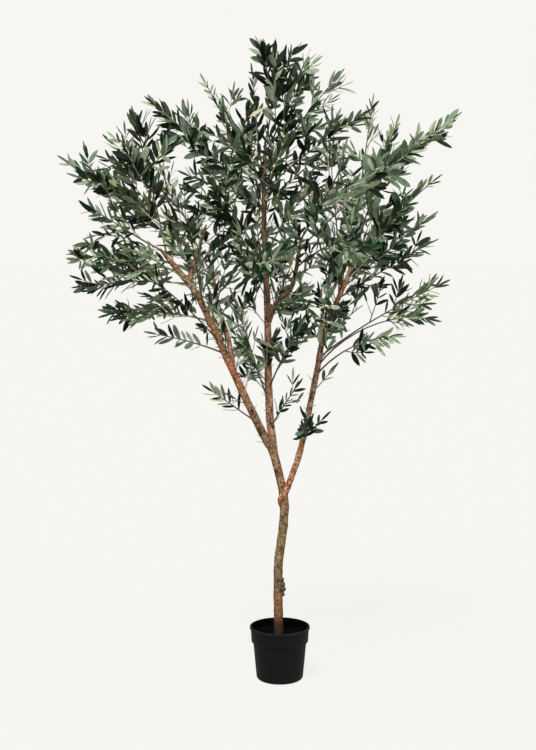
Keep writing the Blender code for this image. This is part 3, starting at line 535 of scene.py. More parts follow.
class Line:
    """A line of points with, at each, how far along it lies and a frame that doesn't twist."""

    def __init__(self, points):
        self.points = points
        self.along = [0.0]
        for a, b in zip(points, points[1:]):
            self.along.append(self.along[-1] + (b - a).length)
        self.length = self.along[-1]
        before, after = [points[0], *points[:-1]], [*points[1:], points[-1]]
        self.ways = [(b - a).normalized() for a, b in zip(before, after)]
        helper = Vector((0, 1, 0)) if abs(self.ways[0].y) < 0.8 else Vector((1, 0, 0))
        normal = self.ways[0].cross(helper)
        self.normals = []
        for way in self.ways:
            normal = (normal - way * normal.dot(way)).normalized()
            self.normals.append(normal)

    def at(self, distance):
        """(place, direction, normal) that distance along the line."""
        i = 0
        while i < len(self.points) - 2 and distance > self.along[i + 1]:
            i += 1
        share = (distance - self.along[i]) / (self.along[i + 1] - self.along[i])
        place = self.points[i].lerp(self.points[i + 1], share)
        way = (self.points[i + 1] - self.points[i]).normalized()
        normal = self.normals[i].lerp(self.normals[i + 1], share)
        return place, way, (normal - way * normal.dot(way)).normalized()

    def at_height(self, height):
        """(place, direction, normal) where a rising line passes that height."""
        for start, a, b in zip(self.along, self.points, self.points[1:]):
            if a.z <= height <= b.z:
                return self.at(start + (b - a).length * (height - a.z) / (b.z - a.z))
        return self.at(self.length)

    def distance_to(self, point):
        best = math.inf
        for a, b in zip(self.points, self.points[1:]):
            share = max(0.0, min(1.0, (point - a).dot(b - a) / (b - a).length_squared))
            best = min(best, (point - a.lerp(b, share)).length)
        return best


def swept(line, rings):
    """(points, faces) of a closed form along the line. rings has the radii round each of its points."""
    sides = len(rings[0])
    corners, faces = [], []
    for point, way, normal, radii in zip(line.points, line.ways, line.normals, rings):
        for k, radius in enumerate(radii):
            corners.append(point + radius * turned(normal, way, 2 * math.pi * k / sides))
    last = len(corners) - sides
    for ring in range(0, last, sides):
        for k in range(sides):
            a, b = ring + k, ring + (k + 1) % sides
            faces.append((a, b, b + sides, a + sides))
    faces.append(tuple(reversed(range(sides))))
    faces.append(tuple(range(last, len(corners))))
    return corners, faces


def stem_line(mass, lines):
    """A stem starts in the middle of its limb, leaves it at a lean and bows over to its reach."""
    root, along, _ = lines[mass.limb].at_height(mass.height)
    reach = Vector(mass.reach)
    length = (reach - root).length
    ahead = (reach - root) / length
    outward = (ahead - along * ahead.dot(along)).normalized()
    leave = (ahead * STEM_LEAVE[0] + along * STEM_LEAVE[1] + outward * STEM_LEAVE[2]).normalized()
    leave += Vector((0, 0, mass.arch))
    arrive = ahead - Vector((0, 0, STEM_DROOP + mass.arch))
    bow = length * STEM_BOW
    return Line(bezier(root, leave.normalized() * bow, arrive.normalized() * bow, reach, 2 * STEM_SEGMENTS))


def shoot_line(root, way, length, pieces=2 * SHOOT_SEGMENTS, lift=SHOOT_LIFT):
    """A shoot starts out along that way and turns a little upwards."""
    tip = root + (way + Vector((0, 0, lift))).normalized() * length
    return Line(bezier(root, way * length * SHOOT_BOW, (tip - root) * SHOOT_BOW, tip, pieces))


# --- materials
class Surface:
    """A material with its Principled shader, and short ways to add nodes to it."""

    def __init__(self, name, gloss, roughness=0.5):
        self.made = bpy.data.materials.new(name)
        self.made.use_nodes = True
        self.tree = self.made.node_tree
        self.shader = self.tree.nodes["Principled BSDF"]
        self.put("Specular IOR Level", gloss)
        self.put("Roughness", roughness)

    def put(self, name, value):
        """Gives one of the shader's inputs a value, or what a socket gives."""
        self.give(self.shader.inputs[name], value)

    def give(self, socket, value):
        if isinstance(value, bpy.types.NodeSocket):
            self.tree.links.new(value, socket)
        else:
            socket.default_value = value

    def add(self, kind, inputs, **settings):
        """A node with those inputs, by name or number, and settings."""
        node = self.tree.nodes.new(kind)
        for name, value in settings.items():
            setattr(node, name, value)
        for name, value in inputs.items():
            self.give(node.inputs[name], value)
        return node

    def place(self):
        """The place on the surface, in the object's own coordinates."""
        return self.add("ShaderNodeTexCoord", {}).outputs["Object"]

    def noise(self, kind):
        place = self.add("ShaderNodeMapping", {"Vector": self.place(), "Scale": kind.stretch})
        inputs = {
            "Vector": place.outputs["Vector"],
            "Scale": kind.scale,
            "Detail": kind.detail,
            "Roughness": kind.roughness,
        }
        return self.add("ShaderNodeTexNoise", inputs).outputs["Fac"]

    def ramp(self, factor, steps, colours):
        """Colours that stand at those steps of the factor, from 0 to 1."""
        node = self.add("ShaderNodeValToRGB", {"Fac": factor})
        elements = node.color_ramp.elements
        while len(elements) < len(steps):
            elements.new(0.5)
        for element, step, colour in zip(elements, steps, colours):
            element.position = step
            element.color = (*colour, 1)
        return node.outputs["Color"]

    def greys(self, factor, steps, shares):
        return self.ramp(factor, steps, [(share, share, share) for share in shares])

    def mix(self, factor, first, second, blend="MIX"):
        inputs = {MIX_FACTOR: factor, MIX_FIRST: first, MIX_SECOND: second}
        node = self.add("ShaderNodeMix", inputs, data_type="RGBA", blend_type=blend)
        return node.outputs[MIX_RESULT]

    def bump(self, height, strength, depth):
        node = self.add("ShaderNodeBump", {"Height": height, "Strength": strength, "Distance": depth})
        self.put("Normal", node.outputs["Normal"])


def bark_material(name, bark):
    """Bark of three tones in patches, worn to orange, mossy and stained dark by height, with painted shade on
    the trunk's foot in the pot and painted highlights on its ridges.
    """
    surface = Surface(name, BARK_GLOSS, BARK_ROUGHNESS)
    *patches, orange, painted_glint = (srgb(*tone) for tone in bark.tones)
    height = surface.add("ShaderNodeSeparateXYZ", {"Vector": surface.place()}).outputs["Z"]
    height = surface.add("ShaderNodeMath", {0: height, 1: BARK_TOP}, operation="DIVIDE").outputs[0]

    def by_height(pairs):
        return surface.greys(height, [z / BARK_TOP for z, _ in pairs], [share for _, share in pairs])

    tone = surface.ramp(surface.noise(PATCH_NOISE), PATCH_STEPS, patches)
    inputs = {0: surface.noise(WORN_NOISE), 1: by_height(bark.worn)}
    worn = surface.add("ShaderNodeMath", inputs, operation="ADD").outputs[0]
    tone = surface.mix(surface.greys(worn, WORN_STEPS, (0, 1)), tone, (*orange, 1))
    specks = surface.noise(SPECK_NOISE)
    shade = surface.ramp(specks, SPECK_STEPS, (SPECK_SHADE, (1, 1, 1)))
    tone = surface.mix(bark.specks, tone, shade, "MULTIPLY")
    # pale glints on the raised ridges of the bump: painted highlights
    tone = surface.mix(surface.greys(specks, PAINTED_GLINT_STEPS, (0, PAINTED_GLINT_SHARE)), tone, (*painted_glint, 1))
    tone = surface.mix(by_height(bark.moss), tone, (*BARK_MOSS, 1), "MULTIPLY")
    # darkened by height: the bark's own stain, and painted shade on the trunk's foot inside the pot
    tone = surface.mix(by_height(bark.stained), tone, (*srgb(*BARK_STAIN_AND_SHADE), 1))
    surface.put("Base Color", tone)
    surface.bump(specks, *BARK_BUMP)
    return surface.made


def mottled(name, tone, gloss, roughness):
    """Dyed cloth or plastic, a little uneven in tone, with a fine grain; the pot's inner faces use it as
    painted shade.
    """
    surface = Surface(name, gloss, roughness)
    colours = [[channel * share for channel in srgb(*tone)] for share in MOTTLE]
    surface.put("Base Color", surface.ramp(surface.noise(MOTTLE_NOISE), MOTTLE_STEPS, colours))
    surface.bump(surface.noise(FINE_NOISE), *CLOTH_BUMP)
    return surface.made


def pot_material():
    """Black moulded plastic, faintly scuffed."""
    surface = Surface("pot_plastic", POT_GLOSS)
    scuffs = surface.noise(POT_NOISE)
    colours = [srgb(*tone) for tone in POT_TONES]
    surface.put("Base Color", surface.ramp(scuffs, POT_STEPS, colours))
    surface.put("Roughness", surface.greys(scuffs, POT_ROUGH_STEPS, POT_ROUGHNESS))
    surface.bump(surface.noise(FINE_NOISE), *POT_BUMP)
    return surface.made


def fill_material():
    """Dark, rough cover over the cast weight."""
    surface = Surface("fill", FILL_GLOSS, FILL_ROUGHNESS)
    grains = surface.noise(FILL_NOISE)
    colours = [srgb(*tone) for tone in FILL_TONES]
    surface.put("Base Color", surface.ramp(grains, FILL_STEPS, colours))
    surface.bump(grains, *FILL_BUMP)
    return surface.made


# --- meshes
def add_mesh(name, points, faces, materials, slots=None):
    """An object from points and faces. slots gives each face's material, where there are several."""
    mesh = bpy.data.meshes.new(name)
    mesh.from_pydata(points, [], faces)
    for made in materials:
        mesh.materials.append(made)
    if slots is not None:
        mesh.polygons.foreach_set("material_index", slots)
    mesh.shade_smooth()
    mesh.set_sharp_from_angle(angle=SHARP_ANGLE)
    mesh.update()
    obj = bpy.data.objects.new(name, mesh)
    bpy.context.scene.collection.objects.link(obj)
    return obj


def add_piece(obj, slot, *nodes):
    """The object becomes a piece of the tree, in the place of these CAD nodes."""
    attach(obj, "root")
    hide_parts(*nodes)


class Shape:
    """Points, faces and each face's material, gathered from many tubes."""

    def __init__(self):
        self.points = []
        self.faces = []
        self.slots = []

    def add(self, points, faces, slot):
        first = len(self.points)
        self.points += [tuple(point) for point in points]
        self.faces += [tuple(first + i for i in face) for face in faces]
        self.slots += [slot] * len(faces)


# --- limbs
def bark_relief(angle, distance, seed):
    """How far the bark stands out there: plates along the limb, ridges across them and a fine grain."""
    out = Vector((math.cos(angle), math.sin(angle), 0))
    plate, plate_round, plate_along = BARK_PLATES
    ridge, ridge_round, ridge_along = BARK_RIDGES
    grain, grain_round, grain_along = BARK_GRAIN
    plates = noise.noise(out * plate_round + Vector((seed, 0, distance * plate_along)))
    ridges = abs(noise.noise(out * ridge_round + Vector((0, seed, distance * ridge_along))))
    grains = noise.noise(out * grain_round + Vector((0, 0, seed + distance * grain_along)))
    return plate * plates + ridge * (1 - 2 * ridges) + grain * grains - BARK_SUNK


def limb_skin(line, radius_at, seed):
    """(points, faces) of a limb with its bark's relief, closed at both ends."""
    rings = []
    for distance in line.along:
        radius = radius_at(distance)
        depth = min(1.0, radius / THIN_LIMB)
        angles = (2 * math.pi * k / LIMB_SIDES for k in range(LIMB_SIDES))
        rings.append([radius + bark_relief(angle, distance, seed) * depth for angle in angles])
    return swept(line, rings)


def limb_radius(limb, share):
    return between((limb.foot_radius, limb.tip_radius), share**LIMB_TAPER)


def thinned(radius, left):
    """The radius of a bough, that thins out over its last stretch."""
    return between((radius, END_RADIUS), max(0.0, 1 - left / END_TAPER) ** END_POWER)


def main_skin():
    """The centre line of the skin that the trunk and the left bough share, and its radius along it."""
    trunk, left = LIMBS["trunk"], LIMBS["bough_left"]
    foot = Vector(trunk.knots[0]) - Vector((0, 0, FOOT_SINK))
    knots = [foot, *trunk.knots[1:-1], left.knots[0], *LEFT_KNOTS, *left.knots[2:]]
    line = Line(spline(knots, LIMB_STEP))
    fork, joint = (
        max(distance for distance, point in zip(line.along, line.points) if point.z < height)
        for height in (trunk.knots[-1][2], LIMBS["bough_centre"].knots[0][2])
    )

    def radius(distance):
        if distance < fork:
            flare = FOOT_FLARE * max(0.0, 1 - distance / FLARE_HEIGHT) ** 2
            return limb_radius(trunk, distance / fork) + flare
        share = (distance - fork) / (line.length - fork)
        blend = max(0.0, 1 - (distance - fork) / FORK_REACH)
        swell = FORK_SWELL * math.exp(-(((distance - joint) / SWELL_REACH) ** 2))
        bough = limb_radius(left, share) + (trunk.tip_radius - left.foot_radius) * blend + swell
        return thinned(bough, line.length - distance)

    return line, radius


def bough_skin(name):
    """The centre line of another bough's skin, and its radius along it."""
    limb = LIMBS[name]
    first = {"bough_right": LAP_KNOTS, "bough_centre": CENTRE_KNOTS}.get(name, limb.knots[:1])
    line = Line(spline([*first, *limb.knots[1:]], LIMB_STEP))
    collar = LAP_RADIUS - limb.foot_radius if name == "bough_right" else FORK_COLLAR

    def radius(distance):
        swell = collar * max(0.0, 1 - distance / FORK_REACH)
        return thinned(limb_radius(limb, distance / line.length) + swell, line.length - distance)

    return line, radius


def knob_skin(place, way, reach, radii):
    """The line of a short stump with a domed end, from the middle of its limb, and its radius along it."""
    way = Vector(way).normalized()
    line = Line([Vector(place) + way * reach * i / KNOB_STEPS for i in range(KNOB_STEPS + 1)])

    def radius(distance):
        share = distance / line.length
        dome = max(0.0, (share - 1 + KNOB_DOME) / KNOB_DOME)
        return between(radii, share) * math.sqrt(max(KNOB_END, 1 - dome**2))

    return line, radius


def build_limbs():
    """The skins of all the limbs. Returns the lines that stems start from."""
    lines = {name: Line(spline(limb.knots, STEM_STEP)) for name, limb in LIMBS.items()}
    for i, name in enumerate(name for name in LIMBS if name != "bough_left"):
        shape = Shape()
        skin = main_skin() if name == "trunk" else bough_skin(name)
        shape.add(*limb_skin(*skin, BARK_SPACING * i), 0)
        materials = [bark_material(f"bark_{name}", BARKS.get(name, FORK_BARK))]
        nodes = (name,)
        if name == "trunk":
            nodes = ("trunk", "bough_left")
            materials.append(bark_material("bark_knobs", BARKS["knobs"]))
            for k, (height, reach, radii, way) in enumerate(KNOBS):
                root = lines["trunk"].at_height(height)[0]
                shape.add(*limb_skin(*knob_skin(root, way, reach, radii), KNOB_SEED + k), 1)
        obj = add_mesh(f"bark_{name}", shape.points, shape.faces, materials, shape.slots)
        add_piece(obj, "bark", *nodes)
    return lines


# --- clearings
def in_view(points):
    """Where the camera sees points, in pixels of the photo's frame."""
    x, y, z = np.moveaxis(points - np.array(CAMERA_PLACE), -1, 0)
    pitch = math.radians(CAMERA_PITCH)
    depth = y * math.cos(pitch) - z * math.sin(pitch)
    rise = y * math.sin(pitch) + z * math.cos(pitch)
    return VIEW_SIZE[0] / 2 + VIEW_FOCAL * x / depth, VIEW_SIZE[1] / 2 - VIEW_FOCAL * rise / depth


def in_gap(points, gaps=GAPS):
    u, v = in_view(points)
    inside = np.zeros(u.shape, bool)
    for middle_u, middle_v, half_u, half_v in gaps:
        inside |= ((u - middle_u) / half_u) ** 2 + ((v - middle_v) / half_v) ** 2 < 1
    return inside


def is_barred(line):
    """Whether a shoot along this line would reach into a gap."""
    points = np.array([line.points[-1], line.points[len(line.points) // 2]])
    return in_gap(points, GAPS + CLEAR_OF_SHOOTS).any()


def bare_points(lines):
    """Points along the stretches of limbs that nothing hides."""
    return np.array([
        lines[name].at_height(low + BARE_STEP * i)[0]
        for name, low, high in BARE_LIMBS
        for i in range(round((high - low) / BARE_STEP) + 1)
    ])


def hides(points, bare):
    """Whether points are right in front of a bare limb."""
    u, v = in_view(points)
    found = np.zeros(u.shape, bool)
    for limb, limb_u, limb_v in zip(bare, *in_view(bare)):
        near = (u - limb_u) ** 2 + (v - limb_v) ** 2 < BARE_WIDTH**2
        found |= near & (points[..., 1] < limb[1])
    return found


# --- leaves
class Leaves:
    """All the leaves of one group of masses."""

    def __init__(self):
        self.frames = []
        self.sizes = []
        self.tones = []

    def add(self, root, way, up, length, width, droop, tone):
        side = way.cross(up).normalized()
        self.frames.append((*root, *way, *side, *side.cross(way)))
        self.sizes.append((length, width, droop))
        self.tones.append(list(TONES).index(tone))

    def shape(self, bare):
        """Points, faces and each face's material, for the leaves that hide no gap and no bare point."""
        root, way, side, up = np.moveaxis(np.reshape(self.frames, (-1, 1, 4, 3)), 2, 0)
        length, width, droop = np.moveaxis(np.reshape(self.sizes, (-1, 1, 1, 3)), 3, 0)
        tests = root + way * length * LEAF_TESTS
        kept = ~(in_gap(tests)[:, LEAF_MIDDLE] | hides(tests, bare).any(axis=1))
        corners, faces, under = leaf_template()
        x, y, z = corners.T[:, :, None]
        y = y * width
        points = root + length * (x * way + y * side + (z + LEAF_FOLD * abs(y) - droop * x * x) * up)
        every = [
            tuple(len(corners) * leaf + i for i in face)
            for leaf in range(np.count_nonzero(kept))
            for face in faces
        ]
        slots = np.add.outer(2 * np.array(self.tones)[kept], under)
        return points[kept].reshape(-1, 3).tolist(), every, slots.ravel().tolist()


def leaf_template():
    """Corners and faces of a flat leaf, 1 long along X and 1 wide, and which faces are under it.

    The faces are wound to look outwards in the left-handed frames of Leaves.
    """
    corners, faces, under = [], [], []
    for x, width in LEAF_STATIONS:
        corners += [(x, width / 2, 0), (x, 0, 0), (x, -width / 2, 0), (x, 0, -LEAF_THICKNESS)]
    tip = len(corners)
    corners.append((1, 0, LEAF_TIP_RISE))
    for i in range(0, tip, 4):
        for a, b, below in ((0, 1, 0), (1, 2, 0), (2, 3, 1), (3, 0, 1)):
            ahead = (i + a + 4, i + b + 4) if i + 4 < tip else (tip,)
            faces.append((i + a, *ahead, i + b))
            under.append(below)
    faces.append((0, 1, 2, 3))
    under.append(1)
    return np.array(corners), faces, under


# --- foliage
class Group:
    """What grows together into two pieces: leaves, and wires."""

    def __init__(self):
        self.leaves = Leaves()
        self.wires = Shape()

    def wire(self, line, radii, total, segments, slot):
        """A wire along the first stretch of a line, of that total length."""
        shares = [i / segments for i in range(segments + 1)]
        rings = [[between(radii, share)] * WIRE_SIDES for share in shares]
        self.wires.add(*swept(Line([line.at(total * share)[0] for share in shares]), rings), slot)

    def clothe(self, line, total, bare, tone, habit, rng):
        """Leaves in pairs down a wire, from the one on its tip. Most of the pairs lie flat in one plane."""
        face = pick_face(line.points[-1], habit, rng)
        tip, along, _ = line.at(total)
        length = max(TIP_LEAF_LEAST, (line.points[-1] - tip).length)
        self.leaves.add(tip, along, face, length, LEAF_WIDTHS[0], TIP_LEAF_DROOP, tone)
        distance = total - LEAF_PITCH * 0.5
        while distance > bare * line.length:
            root, along, _ = line.at(distance)
            flat = (face - along * face.dot(along)).normalized()
            side = along.cross(flat)
            share = min(1.0, LEAF_OPENING * (1 - distance / total))
            turn = math.pi / 2 if rng.random() < habit.crossed else 0.0
            for sign in (1, -1):
                angle = turn + rng.gauss(0, LEAF_SWAY)
                lean = between(LEAF_LEAN, share) + rng.gauss(0, LEAF_SWAY / 2)
                out = sign * (side * math.cos(angle) + flat * math.sin(angle))
                way = along * math.cos(lean) + out * math.sin(lean)
                inner = along * math.sin(lean) - out * math.cos(lean)
                beside = math.cos(angle) ** 2
                up = inner * (1 - LEAF_FLAT[0] * beside) + flat * LEAF_FLAT[1] * beside
                up = turned(up, way, rng.gauss(0, LEAF_TWIST) + math.pi * (rng.random() < LEAF_FLIPPED))
                length = habit.leaf * rng.uniform(*LEAF_LENGTHS) * between(LEAF_GROWTH, share)
                width = habit.width * rng.uniform(*LEAF_WIDTHS)
                droop = LEAF_DROOP * rng.uniform(*DROOP_SCATTER)
                own = tone if rng.random() < LEAF_KEPT else rng.choice(LEAF_TONES)
                self.leaves.add(root, way, up, length, width, droop, own)
            distance -= habit.close * LEAF_PITCH * rng.uniform(*PITCH_SCATTER)

    def grow_shoot(self, line, tone, habit, rng):
        """One side shoot and, on some, a twig."""
        total = line.length - TIP_LEAF
        if total < SHORTEST_WIRE:
            return
        slot = int(rng.random() < PALE_WIRES)
        self.wire(line, SHOOT_RADII, total, SHOOT_SEGMENTS, slot)
        self.clothe(line, total, BARE_SHOOT, tone, habit, rng)
        if rng.random() > TWIG_SHARE:
            return
        station = rng.uniform(*TWIG_SPAN)
        root, along, normal = line.at(line.length * station)
        way = leaning(along, normal, rng.uniform(0, 2 * math.pi), TWIG_LEAN)
        length = min(TWIG_LENGTH * rng.uniform(*TWIG_SCATTER), line.length * (1 - station))
        if length < TIP_LEAF + SHORTEST_WIRE:
            return
        twig = shoot_line(root, way, length, TWIG_PIECES)
        self.wire(twig, TWIG_RADII, twig.length - TIP_LEAF, TWIG_SEGMENTS, slot)
        self.clothe(twig, twig.length - TIP_LEAF, BARE_SHOOT, tone, habit, rng)

    def grow_mass(self, name, stems):
        """One mass: its stem, the side shoots along it, the twigs on some of those, and their leaves."""
        rng = random.Random(f"spray_{name}")
        mass, stem = MASSES[name], stems[name]
        total = stem.length - TIP_LEAF
        habit = HABITS.get(name, Habit())
        self.wire(stem, STEM_RADII, total, STEM_SEGMENTS, 0)
        self.clothe(stem, total, mass.bare, mass.tone, habit, rng)
        azimuth = math.radians(mass.roll)
        span = (max(SHOOT_SPAN[0], mass.bare - BARE_SPARE), SHOOT_SPAN[1])
        count = round(stem.length * (span[1] - span[0]) / (habit.apart * SHOOT_PITCH))
        for i in range(count):
            station = between(span, (i + 0.5) / count)
            root, along, normal = stem.at(stem.length * station)
            length = habit.shoot * SHOOT_LENGTH * (1 - SHOOT_TAPER * station) * rng.uniform(*SHOOT_SCATTER)
            length = min(length, stem.length * (1 - station) / math.cos(SHOOT_LEAN))
            for _ in range(SHOOT_TRIES):
                line = shoot_line(root, leaning(along, normal, azimuth, SHOOT_LEAN), length)
                tip = line.points[-1]
                hangs = root.z - tip.z > SHOOT_HANG * line.length
                if not hangs and not is_barred(line) and is_own_space(tip, name, stems):
                    self.grow_shoot(line, pick_tone(mass.tone, rng), habit, rng)
                    break
                azimuth += 2 * math.pi / SHOOT_TRIES
            azimuth += GOLDEN_ANGLE

    def grow_limb_shoots(self, lines):
        """The short leafy shoots that stand on the boughs themselves, inside the crown."""
        rng = random.Random("limb shoots")
        for row in LIMB_SHOOTS:
            turn = rng.random()
            count = round((row.high - row.low) / row.pitch)
            for i in range(count):
                height = between((row.low, row.high), (i + rng.random()) / count)
                root, along, _ = lines[row.limb].at_height(height)
                side = Vector((*row.way, 0))
                side = (side - along * side.dot(along)).normalized()
                side = turned(side, along, math.radians(row.spread) * (2 * (turn % 1) - 1))
                way = along * math.cos(SHOOT_LEAN) + side * math.sin(SHOOT_LEAN)
                line = shoot_line(root, way, row.length * rng.uniform(*LIMB_SHOOT_SCATTER))
                if not is_barred(line):
                    self.grow_shoot(line, pick_tone(row.tone, rng), LIMB_HABIT, rng)
                turn += GOLDEN_ANGLE / (2 * math.pi)

    def grow_spurs(self, lines):
        """The bare spurs where the boughs have lost their twigs."""
        rng = random.Random("spurs")
        for name, (low, high, count) in SPURS.items():
            inside = LIMBS[name].foot_radius / math.sin(SPUR_LEAN)
            for i in range(count):
                height = between((low, high), (i + rng.random()) / count)
                root, along, normal = lines[name].at_height(height)
                way = leaning(along, normal, rng.uniform(0, 2 * math.pi), SPUR_LEAN)
                length = inside + rng.uniform(*SPUR_REACH)
                line = shoot_line(root, way, length, SHOOT_SEGMENTS, rng.uniform(*SPUR_LIFT))
                self.wire(line, SPUR_RADII, line.length, SHOOT_SEGMENTS, 0)


def pick_face(place, habit, rng):
    """The way that the upper sides of a shoot's leaves face: roughly to the front or to the back."""
    front = rng.random() < FACE_FRONT - FACE_DEPTH * place.y or habit.sway < 1
    azimuth = math.radians(rng.gauss(-90 if front else 90, FACE_SWAY * habit.sway))
    return Vector((math.cos(azimuth), math.sin(azimuth), FACE_LIFT))


def pick_tone(own, rng):
    """A shoot's tone: its mass's or its row's own, where there is one, or any."""
    return own if own and rng.random() < TONE_KEPT else rng.choice(SHOOT_TONES)


def is_own_space(point, name, stems):
    """Whether a point is near its own stem and hardly nearer to any other."""
    own = stems[name].distance_to(point)
    return own < SPACE and not any(line.distance_to(point) < own - BORDER for line in stems.values())


def build_foliage(lines):
    """Two pieces for each group of masses: all its leaves, and all its wires."""
    stems = {name: stem_line(mass, lines) for name, mass in MASSES.items()}
    bare = bare_points(lines)
    leaf_materials = [
        mottled(f"leaf_{name}_{side}", tone, LEAF_GLOSS, roughness)
        for name, tones in TONES.items()
        for tone, (side, roughness) in zip(tones, LEAF_ROUGHNESS.items())
    ]
    wire_materials = [
        mottled(f"wire_{name}", tone, WIRE_GLOSS, WIRE_ROUGHNESS) for name, tone in WIRE_TONES.items()
    ]
    for group, starts in GROUPS.items():
        names = [name for name in MASSES if name.startswith(starts)]
        grown = Group()
        for name in names:
            grown.grow_mass(name, stems)
        if group == LIMB_GROUP:
            grown.grow_limb_shoots(lines)
            grown.grow_spurs(lines)
        points, faces, slots = grown.leaves.shape(bare)
        leaves = add_mesh(f"leaves_{group}", points, faces, leaf_materials, slots)
        wires = grown.wires
        twigs = add_mesh(f"twigs_{group}", wires.points, wires.faces, wire_materials, wires.slots)
        for obj in (leaves, twigs):
            add_piece(obj, "foliage", *(f"spray_{name}" for name in names))


# --- pot
def rounded(profile, radius):
    """The profile with each corner between two straight runs rounded off."""
    points = [profile[0]]
    for before, corner, after in zip(profile, profile[1:], profile[2:]):
        before, corner, after = Vector(before), Vector(corner), Vector(after)
        shortest = min((before - corner).length, (after - corner).length)
        reach = min(radius, shortest * EDGE_SHARE)
        start = corner + (before - corner).normalized() * reach
        end = corner + (after - corner).normalized() * reach
        for i in range(EDGE_PIECES + 1):
            t = i / EDGE_PIECES
            points.append(tuple(start * (1 - t) ** 2 + corner * 2 * t * (1 - t) + end * t**2))
    return [*points, profile[-1]]


def lathe(profile):
    """Points and faces turned from (radius, height) points that start and end on the axis."""
    points, rings, faces = [], [], []
    for radius, height in profile:
        count = POT_SEGMENTS if radius > HAIR else 1
        rings.append([len(points) + k % count for k in range(POT_SEGMENTS + 1)])
        for k in range(count):
            turn = 2 * math.pi * k / POT_SEGMENTS
            points.append((radius * math.cos(turn), radius * math.sin(turn), height))
    for lower, upper in zip(rings, rings[1:]):
        for k in range(POT_SEGMENTS):
            faces.append(tuple(dict.fromkeys((lower[k], lower[k + 1], upper[k + 1], upper[k]))))
    return points, faces


def build_pot():
    """The pot's turned wall, its inner faces painted near black as shade, and the uneven fill inside it."""
    under_collar = POT_HEIGHT - COLLAR_HEIGHT
    collar_top = POT_RIM_RADIUS - LIP_STEP
    collar_foot = collar_top - COLLAR_FLARE
    neck = collar_foot - COLLAR_STEP
    edge = [
        (POT_BASE_RADIUS - POT_CORNER * (1 - math.sin(angle)), POT_CORNER * (1 - math.cos(angle)))
        for angle in (math.radians(90 * i / CORNER_PIECES) for i in range(CORNER_PIECES + 1))
    ]
    walls = [
        (neck, under_collar - COLLAR_SLOPE),
        (collar_foot, under_collar),
        (collar_top, POT_HEIGHT - LIP_HEIGHT),
        (POT_RIM_RADIUS, POT_HEIGHT - LIP_HEIGHT + LIP_STEP / 2),
        (POT_RIM_RADIUS, POT_HEIGHT),
        (collar_top - POT_WALL, POT_HEIGHT),
        (collar_foot - POT_WALL, under_collar + COLLAR_SLOPE),
        (neck - POT_WALL, under_collar),
        (POT_BASE_RADIUS - POT_WALL - POT_CORNER / 4, POT_WALL),
    ]
    profile = [(0, 0), *edge, *rounded([edge[-1], *walls, (0, POT_WALL)], EDGE_ROUND)[1:]]
    points, faces = lathe(profile)
    rim = max(i for i, (_, height) in enumerate(profile) if height > POT_HEIGHT - HAIR)
    # the faces from the rim inwards take the painted shade
    inside = [int(step >= rim) for step in range(len(profile) - 1) for _ in range(POT_SEGMENTS)]
    materials = [pot_material(), mottled("pot_inside_shade", POT_INSIDE_SHADE, FILL_GLOSS, POT_INSIDE_SHADE_ROUGHNESS)]
    add_piece(add_mesh("pot_wall", points, faces, materials, inside), "pot_plastic", "pot")

    edge_radius = collar_foot - POT_WALL - COVER_GAP
    surface = [(edge_radius * (1 - i / COVER_RINGS), FILL_LEVEL) for i in range(COVER_RINGS + 1)]
    foot = FILL_LEVEL - COVER_DEPTH
    points, faces = lathe([(0, foot), (edge_radius, foot), *surface])
    rippled = []
    for x, y, z in points:
        if z > foot:
            z += FILL_RIPPLE * noise.noise(Vector((x, y, 0)) * RIPPLE_SCALE)
        rippled.append((x, y, z))
    add_piece(add_mesh("pot_cover", rippled, faces, [fill_material()]), "fill", "pot_fill")


# --- stage
def build_world(colour):
    """Surroundings that the camera sees in that colour, and that light the tree less strongly."""
    world = bpy.data.worlds.new("studio")
    world.use_nodes = True
    bpy.context.scene.world = world
    nodes, links = world.node_tree.nodes, world.node_tree.links
    lighting = nodes["Background"]
    seen = nodes.new("ShaderNodeBackground")
    path = nodes.new("ShaderNodeLightPath")
    mix = nodes.new("ShaderNodeMixShader")
    lighting.inputs["Color"].default_value = (*colour, 1)
    lighting.inputs["Strength"].default_value = SKY_STRENGTH
    seen.inputs["Color"].default_value = (*colour, 1)
    links.new(path.outputs["Is Camera Ray"], mix.inputs["Fac"])
    links.new(lighting.outputs["Background"], mix.inputs[1])
    links.new(seen.outputs["Background"], mix.inputs[2])
    links.new(mix.outputs["Shader"], nodes["World Output"].inputs["Surface"])


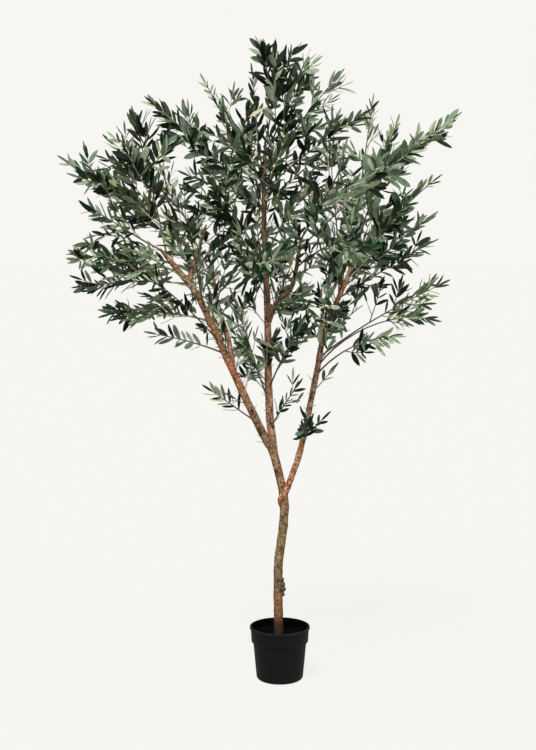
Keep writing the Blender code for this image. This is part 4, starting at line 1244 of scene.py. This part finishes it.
def build_floor(colour):
    """A floor that the suns and its own glow show in that colour."""
    light = SKY_STRENGTH + sum(
        energy * Vector(place).normalized().z / math.pi for energy, _, place in SUNS
    )
    surface = Surface("floor", 0, 1.0)
    surface.put("Base Color", (*(channel * (1 - FLOOR_GLOW) / light for channel in colour), 1))
    surface.put("Emission Color", (*colour, 1))
    seen = surface.add("ShaderNodeLightPath", {}).outputs["Is Camera Ray"]
    inputs = {"Value": seen, "To Min": FLOOR_FILL, "To Max": FLOOR_GLOW}
    surface.put("Emission Strength", surface.add("ShaderNodeMapRange", inputs).outputs["Result"])
    angles = [2 * math.pi * i / FLOOR_SIDES for i in range(FLOOR_SIDES)]
    rim = [(FLOOR_RADIUS * math.cos(angle), FLOOR_RADIUS * math.sin(angle), -FLOOR_SINK) for angle in angles]
    floor = add_mesh("floor", rim, [tuple(range(FLOOR_SIDES))], [surface.made])


def build_stage():
    """A pale floor that runs into a background of its own colour, soft suns, and the camera."""
    scene = bpy.context.scene
    scene.view_settings.view_transform = "Standard"
    build_world(srgb(*BACKGROUND))
    for i, (energy, softness, place) in enumerate(SUNS):
        lamp = bpy.data.lights.new(f"sun_{i}", "SUN")
        lamp.energy = energy
        lamp.angle = math.radians(softness)
        sun = bpy.data.objects.new(f"sun_{i}", lamp)
        sun.rotation_euler = Vector(place).to_track_quat("Z", "Y").to_euler()
        scene.collection.objects.link(sun)
    build_floor(srgb(*BACKGROUND))
    data = bpy.data.cameras.new("camera")
    data.sensor_fit = "VERTICAL"
    data.sensor_height = CAMERA_SENSOR
    data.lens = CAMERA_LENS
    camera = bpy.data.objects.new("camera", data)
    camera.location = CAMERA_PLACE
    camera.rotation_euler = (math.radians(90 - CAMERA_PITCH), 0, 0)
    scene.collection.objects.link(camera)
    scene.camera = camera


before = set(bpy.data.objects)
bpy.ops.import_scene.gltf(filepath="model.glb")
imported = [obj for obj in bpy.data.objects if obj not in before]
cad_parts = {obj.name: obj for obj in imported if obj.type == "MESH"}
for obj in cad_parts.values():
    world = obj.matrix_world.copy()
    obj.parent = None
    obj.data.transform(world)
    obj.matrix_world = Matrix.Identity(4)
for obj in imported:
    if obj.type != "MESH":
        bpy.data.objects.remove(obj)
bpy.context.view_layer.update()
build_stage()
build_pot()
build_foliage(build_limbs())
